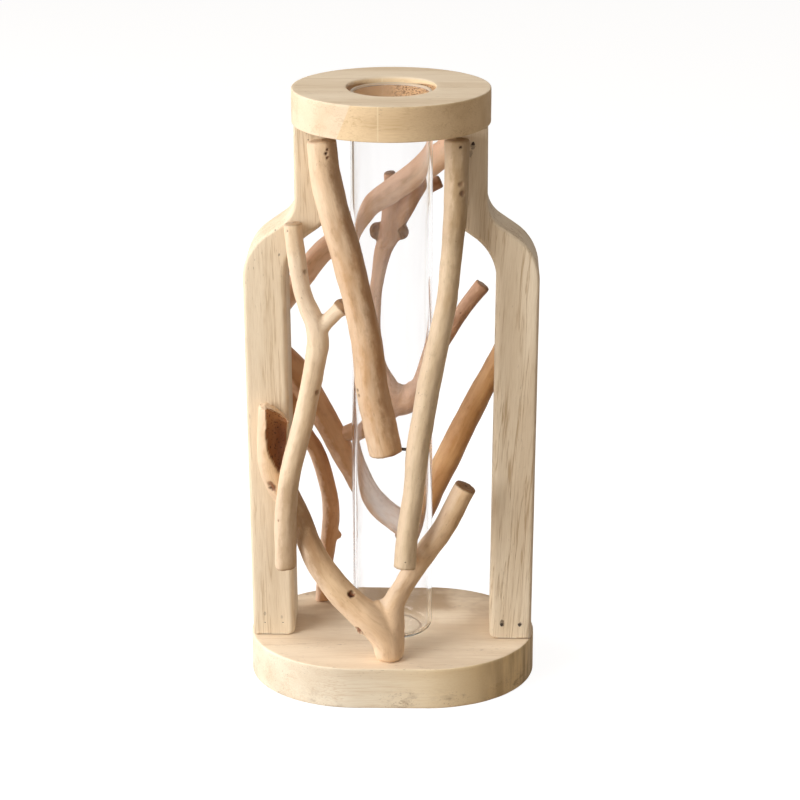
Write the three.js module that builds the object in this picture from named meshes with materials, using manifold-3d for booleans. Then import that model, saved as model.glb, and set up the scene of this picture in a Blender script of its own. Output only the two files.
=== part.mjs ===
// A bottle-shaped wooden vase: a base board, two shaped posts and a top disc hold a loose glass tube,
// and natural branches are nailed to the front and the back of the posts.
// Millimetres, +Z up, X along the base board, the front at -Y, origin under the middle of the base board.
import * as THREE from "three";
import { mergeVertices } from "three/addons/utils/BufferGeometryUtils.js";
import Module from "manifold-3d";

const wasm = await Module();
wasm.setup();

// Overall height
const VASE_HEIGHT = 300;

// Base board: two round ends joined by a straight stretch along X
const BASE_STRAIGHT = 34;
const BASE_END_RADIUS = 54.5;
const BASE_THICKNESS = 21;
const BASE_EDGE_ROUND = 1;

// Top disc
const DISC_DIAMETER = 96;
const DISC_THICKNESS = 17;
const DISC_EDGE_ROUND = 0.8;

// Glass tube, which drops in through the disc and stands on the base board
const TUBE_DIAMETER = 40;
const TUBE_WALL = 1.8;
const TUBE_FLOOR = 4;
const TUBE_HEEL_RADIUS = 4;
const TUBE_PLAY = 1.5; // gap all round between the tube and the hole in the disc
const TUBE_RIM_DROP = 2; // the rim lies this far below the top of the disc

// Posts: a leg, a sloping shoulder and a neck, cut from one board
const POST_DEPTH = 30;
const POST_EDGE_ROUND = 2;
const LEG_WIDTH = 21;
const LEG_LEAN = 2; // a leg is this much further out at the shoulder than at the foot
const FOOT_INSET = 1.5; // from the end of the base board to the foot
const NECK_WIDTH = 17.5;
const NECK_INSET = 1.5; // from the edge of the disc to the neck
const NECK_LENGTH = 36; // straight stretch under the disc
const NECK_RADIUS = 15;
const SHOULDER_RADIUS = 26;
const SHOULDER_THICKNESS = 12.2;
const SHOULDER_SLOPE = THREE.MathUtils.degToRad(35); // below level, steeper where neck and leg lie close
const SHOULDER_ARC_SHARE = 0.9; // the two arcs take at most this share of the way from neck to leg
const LEFT_POST_SET_BACK = 3; // the left post stands this much further back

// Nails: plain brads in clearance holes
const NAIL_DIAMETER = 1.6;
const NAIL_CLEARANCE = 0.3;
const NAIL_SINK = 0.5; // a head lies this far under the surface
const NAIL_GRIP = 12; // how far a nail goes into the piece behind
const TOE_NAIL_LENGTH = 20;
const TOE_NAIL_TILT = THREE.MathUtils.degToRad(62); // below or above level
const TOE_NAIL_RISE = 8.5; // from the end of a post to its slanted nails
const FOOT_NAIL_SPACING = 9;
const FLOOR_NAIL_LENGTH = 30; // driven up through the base board

// Branches, each with its usual thickness
const THICK_BRANCH = 16;
const LEFT_FORK = 10.6;
const LONG_BRANCH = 11.2;
const STANDING_FORK = 14;
const UPPER_REAR_BRANCH = 11.8;
const KNOBBY_FORK = 10;
const LOWER_REAR_FORK = 12.8;
const THIN_ARM = 8.6; // the lower rear fork's arm that stands on the base board
const RIGHT_REAR_BRANCH = 11.6;
const CROSSING_ARM = 12.8; // the standing fork's left arm where the left fork crosses it
const RESTING_ARM = 11.2; // the standing fork's right arm where the long branch rests on it
const SEAT_GAP = 0.3; // between a branch and what it rests on
const TUBE_TO_BRANCH = 1; // least gap between the tube and a branch that passes it
const FORK_FOOT_INSET = 13.5; // from the front of the base board to the standing fork
const THIN_ARM_FOOT_INSET = 19.5; // from the back of the base board to the thin arm
const SPLIT_WIDTH = 9; // the weathered split in the end of the standing fork's left arm
const SPLIT_DEPTH = 10;
const SPLIT_LENGTH = 36;
const BRANCH_SIDES = 10;
const STEPS_PER_STATION = 2;

// Facets of the turned and rounded pieces
const ROUND_FACETS = 20;
const SHOULDER_FACETS = 7;
const EDGE_FACETS = 2;
const TUBE_FACETS = 36;
const NAIL_FACETS = 8;

// Places that follow from the sizes above
const DISC_UNDERSIDE = VASE_HEIGHT - DISC_THICKNESS;
const TUBE_RADIUS = TUBE_DIAMETER / 2;
const FOOT_HALF_WIDTH = BASE_STRAIGHT / 2 + BASE_END_RADIUS - FOOT_INSET;
const SHOULDER_HALF_WIDTH = FOOT_HALF_WIDTH + LEG_LEAN;
const NECK_HALF_WIDTH = DISC_DIAMETER / 2 - NECK_INSET;
const NECK_TO_LEG = SHOULDER_HALF_WIDTH - NECK_HALF_WIDTH - Math.max(0, LEG_WIDTH - NECK_WIDTH);
const ARC_REACH = (SHOULDER_ARC_SHARE * NECK_TO_LEG) / (NECK_RADIUS + SHOULDER_RADIUS);
const SHOULDER_TURN = Math.min(Math.PI / 2 - SHOULDER_SLOPE, Math.acos(Math.max(-1, 1 - ARC_REACH)));
const FORK_FOOT_Y = FORK_FOOT_INSET - BASE_END_RADIUS;
const THIN_ARM_FOOT_Y = BASE_END_RADIUS - THIN_ARM_FOOT_INSET;

// Sides and faces of the vase
const LEFT = -1;
const RIGHT = 1;
const FRONT = -1;
const BACK = 1;

const vase = new THREE.Group();
const pieces = new Map();

// Solids

function solid(geometry) {
  geometry.deleteAttribute("normal");
  geometry.deleteAttribute("uv");
  const merged = mergeVertices(geometry);
  const vertProperties = merged.getAttribute("position").array;
  const triVerts = new Uint32Array(merged.index.array);
  return new wasm.Manifold(new wasm.Mesh({ numProp: 3, vertProperties, triVerts }));
}

function addPiece(name, body, colour, roughness, metalness = 0) {
  const material = new THREE.MeshStandardMaterial({ color: colour, roughness, metalness });
  pieces.set(name, { body, material });
}

// A straight round bar between two points
function bar(from, to, diameter) {
  const along = new THREE.Vector3().subVectors(to, from);
  const geometry = new THREE.CylinderGeometry(diameter / 2, diameter / 2, along.length(), NAIL_FACETS);
  const upright = new THREE.Vector3(0, 1, 0);
  const turn = new THREE.Quaternion().setFromUnitVectors(upright, along.clone().normalize());
  geometry.applyQuaternion(turn);
  const middle = new THREE.Vector3().addVectors(from, to).divideScalar(2);
  geometry.translate(middle.x, middle.y, middle.z);
  return solid(geometry);
}

// A flat shape given a thickness along Z, with its edges rounded inside the outline
function slab(shape, thickness, edgeRound, facets) {
  const geometry = new THREE.ExtrudeGeometry(shape, {
    depth: thickness - 2 * edgeRound,
    bevelThickness: edgeRound,
    bevelSize: edgeRound,
    bevelOffset: -edgeRound,
    bevelSegments: EDGE_FACETS,
    curveSegments: facets,
  });
  geometry.translate(0, 0, edgeRound);
  return geometry;
}

// Base board

function makeBaseBoard() {
  const half = BASE_STRAIGHT / 2;
  const outline = new THREE.Shape();
  outline.absarc(half, 0, BASE_END_RADIUS, -Math.PI / 2, Math.PI / 2);
  outline.absarc(-half, 0, BASE_END_RADIUS, Math.PI / 2, (3 * Math.PI) / 2);
  outline.closePath();
  addPiece("base_board", solid(slab(outline, BASE_THICKNESS, BASE_EDGE_ROUND, ROUND_FACETS)), 0xdcbe9b, 0.65);
}

// Top disc

function makeTopDisc() {
  const outline = new THREE.Shape();
  outline.absarc(0, 0, DISC_DIAMETER / 2, 0, 2 * Math.PI);
  const hole = new THREE.Path();
  hole.absarc(0, 0, TUBE_RADIUS + TUBE_PLAY + DISC_EDGE_ROUND, 0, 2 * Math.PI, true);
  outline.holes.push(hole);
  const geometry = slab(outline, DISC_THICKNESS, DISC_EDGE_ROUND, ROUND_FACETS);
  geometry.translate(0, 0, DISC_UNDERSIDE);
  addPiece("top_disc", solid(geometry), 0xd8c4aa, 0.65);
}

// Glass tube: closed at the foot, with a round heel and a round rim

function makeGlassTube() {
  const top = VASE_HEIGHT - TUBE_RIM_DROP;
  const inside = TUBE_RADIUS - TUBE_WALL;
  const heel = TUBE_HEEL_RADIUS;
  const innerHeel = heel - TUBE_WALL / 2;
  const rim = TUBE_WALL / 2;
  const floor = BASE_THICKNESS + TUBE_FLOOR;
  const profile = new THREE.Path();
  profile.moveTo(0, BASE_THICKNESS);
  profile.lineTo(TUBE_RADIUS - heel, BASE_THICKNESS);
  profile.absarc(TUBE_RADIUS - heel, BASE_THICKNESS + heel, heel, -Math.PI / 2, 0);
  profile.absarc(TUBE_RADIUS - rim, top - rim, rim, 0, Math.PI);
  profile.absarc(inside - innerHeel, floor + innerHeel, innerHeel, 0, -Math.PI / 2, true);
  profile.lineTo(0, floor);
  const geometry = new THREE.LatheGeometry(profile.getPoints(EDGE_FACETS), TUBE_FACETS);
  geometry.rotateX(Math.PI / 2);
  addPiece("glass_tube", solid(geometry), 0xf4f6f6, 0.05);
}

// Posts

// One side of a post from neck to leg: an arc out of the neck, the slope and an arc into the leg.
// The slope lies on the line through slopePoint, and the ends of the two arcs are returned.
function shoulderLine(neckX, legX, slopePoint) {
  const turn = SHOULDER_TURN;
  const slopeTop = neckX + NECK_RADIUS * (1 - Math.cos(turn));
  const slopeEnd = legX - SHOULDER_RADIUS * (1 - Math.cos(turn));
  const slopeZ = (x) => slopePoint.y - (x - slopePoint.x) / Math.tan(turn);
  return {
    turn,
    neck: new THREE.Vector2(neckX + NECK_RADIUS, slopeZ(slopeTop) + NECK_RADIUS * Math.sin(turn)),
    leg: new THREE.Vector2(legX - SHOULDER_RADIUS, slopeZ(slopeEnd) - SHOULDER_RADIUS * Math.sin(turn)),
  };
}

function outerShoulder() {
  const slopePoint = new THREE.Vector2(
    NECK_HALF_WIDTH + NECK_RADIUS * (1 - Math.cos(SHOULDER_TURN)),
    DISC_UNDERSIDE - NECK_LENGTH - NECK_RADIUS * Math.sin(SHOULDER_TURN),
  );
  return { slopePoint, ...shoulderLine(NECK_HALF_WIDTH, SHOULDER_HALF_WIDTH, slopePoint) };
}

function innerShoulder() {
  const outer = outerShoulder().slopePoint;
  const slopePoint = new THREE.Vector2(
    outer.x - SHOULDER_THICKNESS * Math.cos(SHOULDER_TURN),
    outer.y - SHOULDER_THICKNESS * Math.sin(SHOULDER_TURN),
  );
  return shoulderLine(NECK_HALF_WIDTH - NECK_WIDTH, SHOULDER_HALF_WIDTH - LEG_WIDTH, slopePoint);
}

function postOutline() {
  const outer = outerShoulder();
  const inner = innerShoulder();
  const outline = new THREE.Shape();
  outline.moveTo(FOOT_HALF_WIDTH - LEG_WIDTH, BASE_THICKNESS);
  outline.lineTo(FOOT_HALF_WIDTH, BASE_THICKNESS);
  outline.absarc(outer.leg.x, outer.leg.y, SHOULDER_RADIUS, 0, outer.turn);
  outline.absarc(outer.neck.x, outer.neck.y, NECK_RADIUS, Math.PI + outer.turn, Math.PI, true);
  outline.lineTo(NECK_HALF_WIDTH, DISC_UNDERSIDE);
  outline.lineTo(NECK_HALF_WIDTH - NECK_WIDTH, DISC_UNDERSIDE);
  outline.absarc(inner.neck.x, inner.neck.y, NECK_RADIUS, Math.PI, Math.PI + inner.turn);
  outline.absarc(inner.leg.x, inner.leg.y, SHOULDER_RADIUS, inner.turn, 0, true);
  outline.closePath();
  return outline;
}

// Where a post's front or back face lies
function postFace(side, way) {
  return (way * POST_DEPTH) / 2 + (side === LEFT ? LEFT_POST_SET_BACK : 0);
}

function makePost(name, side, colour) {
  const geometry = slab(postOutline(), POST_DEPTH, POST_EDGE_ROUND, SHOULDER_FACETS);
  geometry.rotateX(Math.PI / 2);
  if (side === LEFT) geometry.rotateZ(Math.PI);
  geometry.translate(0, side === LEFT ? postFace(LEFT, FRONT) : postFace(RIGHT, BACK), 0);
  addPiece(name, solid(geometry), colour, 0.7);
}

// Places on the frame, where a share runs from 0 to 1

const SPAN = SHOULDER_HALF_WIDTH - LEG_WIDTH;
const across = (share) => share * SPAN; // from the middle to a leg
const between = (share) => THREE.MathUtils.lerp(BASE_THICKNESS, DISC_UNDERSIDE, share);
const neckX = (side, share) => side * (NECK_HALF_WIDTH - share * NECK_WIDTH); // from the outer face in

function legX(side, share, z) {
  const rise = (z - BASE_THICKNESS) / (outerShoulder().leg.y - BASE_THICKNESS);
  return side * (FOOT_HALF_WIDTH + rise * LEG_LEAN - share * LEG_WIDTH);
}

// The middle line of a branch that lies on a post, with other pieces between them if there is a layer
const onPost = (side, way, thick, layer = 0) => postFace(side, way) + way * (SEAT_GAP + layer + thick / 2);

// The middle line of a branch that passes the tube, with a spare gap in shares of its thickness
const pastTube = (way, thick, spare = 0) => way * (TUBE_RADIUS + TUBE_TO_BRANCH + (0.5 + spare) * thick);

// A straight lean from one height and depth to another
function lean(zA, yA, zB, yB) {
  return (z) => THREE.MathUtils.mapLinear(z, zA, zB, yA, yB);
}

// Branches

// A point on the middle line of a branch, with the branch's thickness there
function station(x, y, z, thick) {
  return { at: new THREE.Vector3(x, y, z), thick };
}

// Ways to place the stations of a branch whose usual thickness is given
function stationsOf(thick, way, depth) {
  return {
    at: (x, z, share) => station(x, depth(z), z, share * thick),
    past: (x, z, share, spare) => station(x, pastTube(way, share * thick, spare), z, share * thick),
    onLeg: (side, inset, z, share) =>
      station(legX(side, inset, z), onPost(side, way, share * thick), z, share * thick),
    onNeck: (side, inset, z, share) =>
      station(neckX(side, inset), onPost(side, way, share * thick), z, share * thick),
  };
}

function thickAt(stations, share) {
  const place = share * (stations.length - 1);
  const first = Math.min(Math.floor(place), stations.length - 2);
  return THREE.MathUtils.lerp(stations[first].thick, stations[first + 1].thick, place - first);
}

// A round limb through its stations, cut square at both ends
function limb(stations) {
  const places = stations.map((one) => one.at);
  const curve = new THREE.CatmullRomCurve3(places, false, "centripetal");
  const steps = (stations.length - 1) * STEPS_PER_STATION;
  const frames = curve.computeFrenetFrames(steps, false);
  const geometry = new THREE.CylinderGeometry(1, 1, 1, BRANCH_SIDES, steps);
  const corners = geometry.getAttribute("position");
  for (let i = 0; i < corners.count; i++) {
    const step = Math.round((corners.getY(i) + 0.5) * steps);
    const share = curve.getUtoTmapping(step / steps);
    const radius = thickAt(stations, share) / 2;
    const corner = curve.getPoint(share);
    corner.addScaledVector(frames.normals[step], corners.getX(i) * radius);
    corner.addScaledVector(frames.binormals[step], -corners.getZ(i) * radius);
    corners.setXYZ(i, corner.x, corner.y, corner.z);
  }
  return solid(geometry);
}

function addBranch(name, limbs, colour) {
  const body = limbs.map(limb).reduce((whole, next) => whole.add(next));
  addPiece(name, body, colour, 0.75);
}

// Cuts a standing branch flat where it meets the base board
function cutFlatOnBase(name) {
  const length = BASE_STRAIGHT + 2 * BASE_END_RADIUS;
  const block = new THREE.BoxGeometry(length, 2 * BASE_END_RADIUS, BASE_THICKNESS);
  block.translate(0, 0, BASE_THICKNESS / 2);
  const piece = pieces.get(name);
  piece.body = piece.body.subtract(solid(block));
}

// Front: a thick straight branch from the left neck down past the tube
function thickBranch() {
  const top = onPost(LEFT, FRONT, 0.94 * THICK_BRANCH);
  const depth = lean(between(0.981), top, between(0.395), pastTube(FRONT, 1.04 * THICK_BRANCH, 0.07));
  const { at } = stationsOf(THICK_BRANCH, FRONT, depth);
  return [
    at(neckX(LEFT, 0.794), between(0.981), 0.88),
    at(neckX(LEFT, 0.869), between(0.924), 0.94),
    at(across(-0.52), between(0.844), 0.94),
    at(across(-0.4), between(0.76), 0.95),
    at(across(-0.304), between(0.683), 0.91),
    at(across(-0.225), between(0.609), 0.94),
    at(across(-0.18), between(0.527), 1),
    at(across(-0.11), between(0.46), 1.03),
    at(across(-0.04), between(0.395), 1.04),
  ];
}

// Front: a fork from the left shoulder to the left leg, with a stub towards the thick branch
function leftFork() {
  const top = onPost(LEFT, FRONT, 0.89 * LEFT_FORK);
  const crossing = onPost(LEFT, FRONT, 1.02 * LEFT_FORK, CROSSING_ARM + SEAT_GAP);
  const depth = lean(between(0.824), top, between(0.29), crossing);
  const { at } = stationsOf(LEFT_FORK, FRONT, depth);
  const overLeg = (inset, z, share) => at(legX(LEFT, inset, z), z, share);
  const main = [
    at(neckX(LEFT, -0.023), between(0.824), 0.85),
    at(neckX(LEFT, 0), between(0.798), 0.87),
    at(across(-0.894), between(0.77), 0.87),
    at(across(-0.855), between(0.716), 0.82),
    at(across(-0.808), between(0.68), 0.81),
    at(across(-0.722), between(0.638), 0.94),
    at(across(-0.69), between(0.602), 1.04),
    at(across(-0.71), between(0.573), 1.01),
    at(across(-0.776), between(0.503), 0.98),
    at(across(-0.824), between(0.46), 1),
    overLeg(1.057, between(0.359), 0.96),
    overLeg(0.933, between(0.29), 1.02),
    overLeg(0.895, between(0.21), 1.03),
    overLeg(0.881, between(0.162), 0.94),
  ];
  const stub = [
    at(across(-0.71), between(0.618), 0.81),
    at(across(-0.598), between(0.642), 0.72),
    at(across(-0.467), between(0.668), 0.68),
  ];
  return [main, stub];
}

// Front: a long branch from the right neck down to the standing fork's right arm
function longBranch() {
  const top = onPost(RIGHT, FRONT, 1.11 * LONG_BRANCH);
  const resting = pastTube(FRONT, 0.96 * LONG_BRANCH) - (RESTING_ARM + SEAT_GAP);
  const { at } = stationsOf(LONG_BRANCH, FRONT, lean(between(0.985), top, between(0.179), resting));
  return [
    at(neckX(RIGHT, 0.857), between(0.985), 1.1),
    at(neckX(RIGHT, 0.851), between(0.947), 1.07),
    at(neckX(RIGHT, 0.874), between(0.855), 1.02),
    at(across(0.584), between(0.8), 0.94),
    at(across(0.533), between(0.69), 0.92),
    at(across(0.437), between(0.597), 0.99),
    at(across(0.357), between(0.521), 1.02),
    at(across(0.263), between(0.406), 1),
    at(across(0.218), between(0.321), 0.92),
    at(across(0.163), between(0.24), 0.96),
    at(across(0.139), between(0.179), 0.96),
  ];
}

// Front: a fork that stands on the base board, with its left arm on the left leg
function standingFork() {
  const { onLeg } = stationsOf(STANDING_FORK, FRONT);
  const reach = (toY) => (x, share, z, thick) =>
    station(x, THREE.MathUtils.lerp(FORK_FOOT_Y, toY, share), z, thick * STANDING_FORK);
  const toLeg = reach(onPost(LEFT, FRONT, CROSSING_ARM));
  const toTube = reach(pastTube(FRONT, RESTING_ARM));
  const leftArm = [
    toLeg(across(-0.012), 0, between(-0.023), 0.96),
    toLeg(across(-0.024), 0.03, between(0.023), 1.01),
    toLeg(across(-0.16), 0.1, between(0.067), 1.14),
    toLeg(across(-0.333), 0.18, between(0.097), 1.06),
    toLeg(across(-0.51), 0.28, between(0.127), 0.99),
    toLeg(across(-0.67), 0.43, between(0.169), 0.93),
    toLeg(across(-0.796), 0.65, between(0.212), 0.86),
    onLeg(LEFT, 1.171, between(0.254), 0.87),
    onLeg(LEFT, 0.933, between(0.292), CROSSING_ARM / STANDING_FORK),
    onLeg(LEFT, 0.681, between(0.328), 0.96),
    onLeg(LEFT, 0.581, between(0.366), 1),
    onLeg(LEFT, 0.61, between(0.42), 1.06),
    onLeg(LEFT, 0.676, between(0.477), 1.07),
  ];
  const rightArm = [
    toTube(across(0), 0.03, between(0.015), 0.93),
    toTube(across(0.012), 0.11, between(0.061), 0.96),
    toTube(across(0.039), 0.33, between(0.101), 0.89),
    toTube(across(0.114), 0.69, between(0.134), 0.79),
    toTube(across(0.231), 1, between(0.166), RESTING_ARM / STANDING_FORK),
    toTube(across(0.357), 1, between(0.2), RESTING_ARM / STANDING_FORK),
    toTube(across(0.51), 1, between(0.244), 0.81),
    toTube(across(0.714), 1, between(0.323), 0.79),
  ];
  return [leftArm, rightArm];
}

// Back: a branch from the left leg up past the tube to the right neck
function upperRearBranch() {
  const { past, onLeg, onNeck } = stationsOf(UPPER_REAR_BRANCH, BACK);
  return [
    onLeg(LEFT, 0.571, between(0.607), 0.93),
    onLeg(LEFT, 0.81, between(0.63), 0.93),
    past(across(-0.859), between(0.691), 0.93, -0.14),
    past(across(-0.706), between(0.731), 0.92, -0.09),
    past(across(-0.47), between(0.771), 0.81),
    past(across(-0.345), between(0.798), 0.81),
    past(across(-0.216), between(0.824), 0.93),
    past(across(-0.03), between(0.845), 1),
    past(across(0.216), between(0.878), 1),
    past(across(0.412), between(0.91), 1, -0.21),
    onNeck(RIGHT, 0.743, between(0.947), 0.99),
    onNeck(RIGHT, 0.43, between(0.964), 0.97),
  ];
}

// Back: a knobby fork that hangs on the upper rear branch and ends on the lower rear fork
function knobbyFork() {
  const behind = pastTube(BACK, UPPER_REAR_BRANCH) + UPPER_REAR_BRANCH / 2;
  const hanging = behind + SEAT_GAP + 0.4 * KNOBBY_FORK;
  const depth = lean(between(0.844), hanging, between(0.429), pastTube(BACK, 1.34 * KNOBBY_FORK, 0.18));
  const { at, past } = stationsOf(KNOBBY_FORK, BACK, depth);
  const main = [
    at(across(-0.043), between(0.872), 0.64),
    at(across(-0.027), between(0.844), 0.8),
    at(across(-0.025), between(0.79), 1.04),
    at(across(-0.035), between(0.754), 1.14),
    at(across(-0.102), between(0.718), 0.9),
    at(across(-0.153), between(0.66), 0.76),
    at(across(-0.173), between(0.612), 0.76),
    at(across(-0.145), between(0.553), 0.86),
    at(across(-0.076), between(0.494), 1.02),
    at(across(0.008), between(0.429), 1.34),
    past(across(-0.137), between(0.397), 1.24, 0.11),
    past(across(-0.314), between(0.376), 1.06, 0.09),
    past(across(-0.51), between(0.361), 0.86, 0.14),
  ];
  const rightArm = [
    at(across(-0.02), between(0.416), 1.2),
    at(across(0.167), between(0.426), 1.26),
    past(across(0.298), between(0.462), 0.98, 0.41),
    past(across(0.404), between(0.515), 0.78, 0.64),
    past(across(0.578), between(0.576), 0.74, 0.68),
    past(across(0.737), between(0.622), 0.76, 0.66),
    past(across(0.871), between(0.655), 0.8, 0.63),
  ];
  const twig = [
    at(across(-0.008), between(0.756), 0.76),
    at(across(0.122), between(0.786), 0.7),
    at(across(0.282), between(0.823), 0.66),
    at(across(0.463), between(0.849), 0.66),
  ];
  const leftKnob = [at(across(-0.04), between(0.756), 0.84), at(across(-0.169), between(0.76), 0.82)];
  const rightKnob = [at(across(0), between(0.754), 0.84), at(across(0.125), between(0.765), 0.74)];
  return [main, rightArm, twig, leftKnob, rightKnob];
}

// Back: a fork from the left leg, with one arm behind the foot of the tube and a thin arm to the base board
function lowerRearFork() {
  const { past, onLeg } = stationsOf(LOWER_REAR_FORK, BACK);
  const main = [
    onLeg(LEFT, 0.5, between(0.531), 1.17),
    onLeg(LEFT, 0.81, between(0.506), 1.17),
    onLeg(LEFT, 1.057, between(0.485), 1.17),
    past(across(-0.831), between(0.445), 1.06, -0.07),
    past(across(-0.69), between(0.393), 1, -0.03),
    past(across(-0.565), between(0.344), 0.98),
    past(across(-0.437), between(0.296), 0.98, 0.03),
    past(across(-0.282), between(0.242), 0.98, 0.06),
    past(across(-0.137), between(0.208), 0.98, 0.06),
    past(across(0.029), between(0.181), 1, 0.06),
    past(across(0.196), between(0.158), 1, 0.06),
  ];
  const depth = lean(between(0.481), main[0].at.y, between(0), THIN_ARM_FOOT_Y);
  const { at } = stationsOf(THIN_ARM, BACK, depth);
  const overLeg = (inset, z, share) => at(legX(LEFT, inset, z), z, share);
  const thinArm = [
    overLeg(0.81, between(0.485), 1.05),
    overLeg(0.838, between(0.447), 1),
    overLeg(0.952, between(0.414), 0.95),
    at(across(-0.89), between(0.361), 0.95),
    at(across(-0.78), between(0.324), 0.98),
    at(across(-0.706), between(0.281), 1),
    at(across(-0.643), between(0.221), 1.05),
    at(across(-0.635), between(0.179), 1.05),
    at(across(-0.671), between(0.122), 0.98),
    at(across(-0.714), between(0.057), 0.91),
    at(across(-0.733), between(-0.019), 0.95),
  ];
  return [main, thinArm];
}

// Back: a straight branch from the right leg down to the end of the lower rear fork
function rightRearBranch() {
  const { past, onLeg } = stationsOf(RIGHT_REAR_BRANCH, BACK);
  return [
    past(across(0.118), between(0.139), 1.12, 0.06),
    past(across(0.263), between(0.197), 1.1),
    past(across(0.388), between(0.254), 1.03, -0.08),
    past(across(0.596), between(0.34), 1, -0.17),
    past(across(0.796), between(0.424), 0.98, -0.35),
    onLeg(RIGHT, 0.952, between(0.508), 0.98),
    onLeg(RIGHT, 0.548, between(0.573), 0.98),
  ];
}

// Nails

// Bores a clearance hole along a nail through the pieces that it joins, then adds the nail
function driveNail(name, head, tip, joined) {
  const along = new THREE.Vector3().subVectors(tip, head).normalize();
  const mouth = head.clone().addScaledVector(along, -NAIL_GRIP);
  const end = tip.clone().addScaledVector(along, NAIL_CLEARANCE);
  const hole = bar(mouth, end, NAIL_DIAMETER + 2 * NAIL_CLEARANCE);
  for (const piece of joined.map((one) => pieces.get(one))) piece.body = piece.body.subtract(hole);
  addPiece(name, bar(head.clone().addScaledVector(along, NAIL_SINK), tip, NAIL_DIAMETER), 0x6a6560, 0.4, 1);
}

// A nail through a branch, square to the posts, into what lies behind at the depth faceY
function nailBranch(name, place, way, faceY, joined) {
  const head = place.at.clone().setY(place.at.y + (way * place.thick) / 2);
  const tip = place.at.clone().setY(faceY - way * NAIL_GRIP);
  driveNail(name, head, tip, joined);
}

// A slanted nail through a post's face into the base board or the disc
function toeNail(name, post, x, faceY, way, z, rise, into) {
  const head = new THREE.Vector3(x, faceY, z);
  const run = -way * TOE_NAIL_LENGTH * Math.cos(TOE_NAIL_TILT);
  const tip = new THREE.Vector3(x, faceY + run, z + rise * TOE_NAIL_LENGTH * Math.sin(TOE_NAIL_TILT));
  driveNail(name, head, tip, [post, into]);
}

function nailPosts() {
  for (const [word, side] of [["left", LEFT], ["right", RIGHT]]) {
    const post = word + "_post";
    const footZ = BASE_THICKNESS + TOE_NAIL_RISE;
    const headZ = DISC_UNDERSIDE - TOE_NAIL_RISE;
    const footX = legX(side, 0.5, footZ);
    const face = postFace(side, FRONT);
    const spread = side * (FOOT_NAIL_SPACING / 2);
    toeNail(word + "_foot_nail_outer", post, footX + spread, face, FRONT, footZ, -1, "base_board");
    toeNail(word + "_foot_nail_inner", post, footX - spread, face, FRONT, footZ, -1, "base_board");
    const neck = neckX(side, 0.5);
    const frontX = neckX(side, 0.41);
    toeNail(word + "_neck_nail_front", post, frontX, face, FRONT, headZ, 1, "top_disc");
    toeNail(word + "_neck_nail_back", post, neck, postFace(side, BACK), BACK, headZ, 1, "top_disc");
  }
}

// A nail up through the base board into a standing branch
function nailFromBelow(name, place, branch) {
  const head = new THREE.Vector3(place.at.x, place.at.y, 0);
  const tip = head.clone().setZ(FLOOR_NAIL_LENGTH);
  driveNail(name, head, tip, ["base_board", branch]);
}

function nailFrontBranches(thick, left, long, standing) {
  const leftFront = postFace(LEFT, FRONT);
  const rightFront = postFace(RIGHT, FRONT);
  const legPieces = ["left_fork", "standing_fork", "left_post"];
  nailBranch("thick_branch_nail", thick[1], FRONT, leftFront, ["thick_branch", "left_post"]);
  nailBranch("left_fork_nail_top", left[1], FRONT, leftFront, ["left_fork", "left_post"]);
  nailBranch("left_fork_nail_foot", left[11], FRONT, leftFront, legPieces);
  nailBranch("long_branch_nail_top", long[1], FRONT, rightFront, ["long_branch", "right_post"]);
  nailBranch("standing_fork_nail_top", standing[0][10], FRONT, leftFront, ["standing_fork", "left_post"]);
  nailFromBelow("standing_fork_nail_foot", standing[0][0], "standing_fork");
  const arm = standing[1][4].at;
  const rest = long[10];
  const front = new THREE.Vector3(rest.at.x, rest.at.y - rest.thick / 2, rest.at.z + rest.thick / 2);
  driveNail("long_branch_nail_foot", front, arm, ["long_branch", "standing_fork"]);
  const cross = long[7];
  const outside = cross.at.clone().setX(cross.at.x + cross.thick / 2);
  driveNail("crossing_nail", outside, thick[8].at.clone().setZ(cross.at.z), ["long_branch", "thick_branch"]);
}

function nailRearBranches(upper, knobby, lower, right) {
  const leftBack = postFace(LEFT, BACK);
  const rightBack = postFace(RIGHT, BACK);
  nailBranch("upper_rear_nail_left", upper[1], BACK, leftBack, ["upper_rear_branch", "left_post"]);
  nailBranch("upper_rear_nail_right", upper[10], BACK, rightBack, ["upper_rear_branch", "right_post"]);
  const hungOn = upper[7].at.y + NAIL_GRIP;
  nailBranch("knobby_fork_nail_top", knobby[0][1], BACK, hungOn, ["knobby_fork", "upper_rear_branch"]);
  const outside = lower[0][5].at.clone();
  outside.x -= lower[0][5].thick / 2;
  driveNail("knobby_fork_nail_foot", outside, knobby[0][11].at, ["knobby_fork", "lower_rear_fork"]);
  nailBranch("lower_rear_nail_left", lower[0][1], BACK, leftBack, ["lower_rear_fork", "left_post"]);
  nailFromBelow("lower_rear_nail_foot", lower[1][10], "lower_rear_fork");
  nailBranch("right_rear_nail_top", right[5], BACK, rightBack, ["right_rear_branch", "right_post"]);
  const under = lower[0][9].at.clone();
  under.z -= lower[0][9].thick / 2;
  driveNail("right_rear_nail_foot", under, right[1].at, ["lower_rear_fork", "right_rear_branch"]);
}

// The split is scooped out of the front of the arm's upper end
function cutSplit(armEnd) {
  const scoop = new THREE.SphereGeometry(0.5, BRANCH_SIDES, BRANCH_SIDES);
  scoop.scale(SPLIT_WIDTH, SPLIT_DEPTH, SPLIT_LENGTH);
  scoop.translate(armEnd.at.x, armEnd.at.y - armEnd.thick / 2, armEnd.at.z - SPLIT_LENGTH / 3);
  const fork = pieces.get("standing_fork");
  fork.body = fork.body.subtract(solid(scoop));
}

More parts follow.
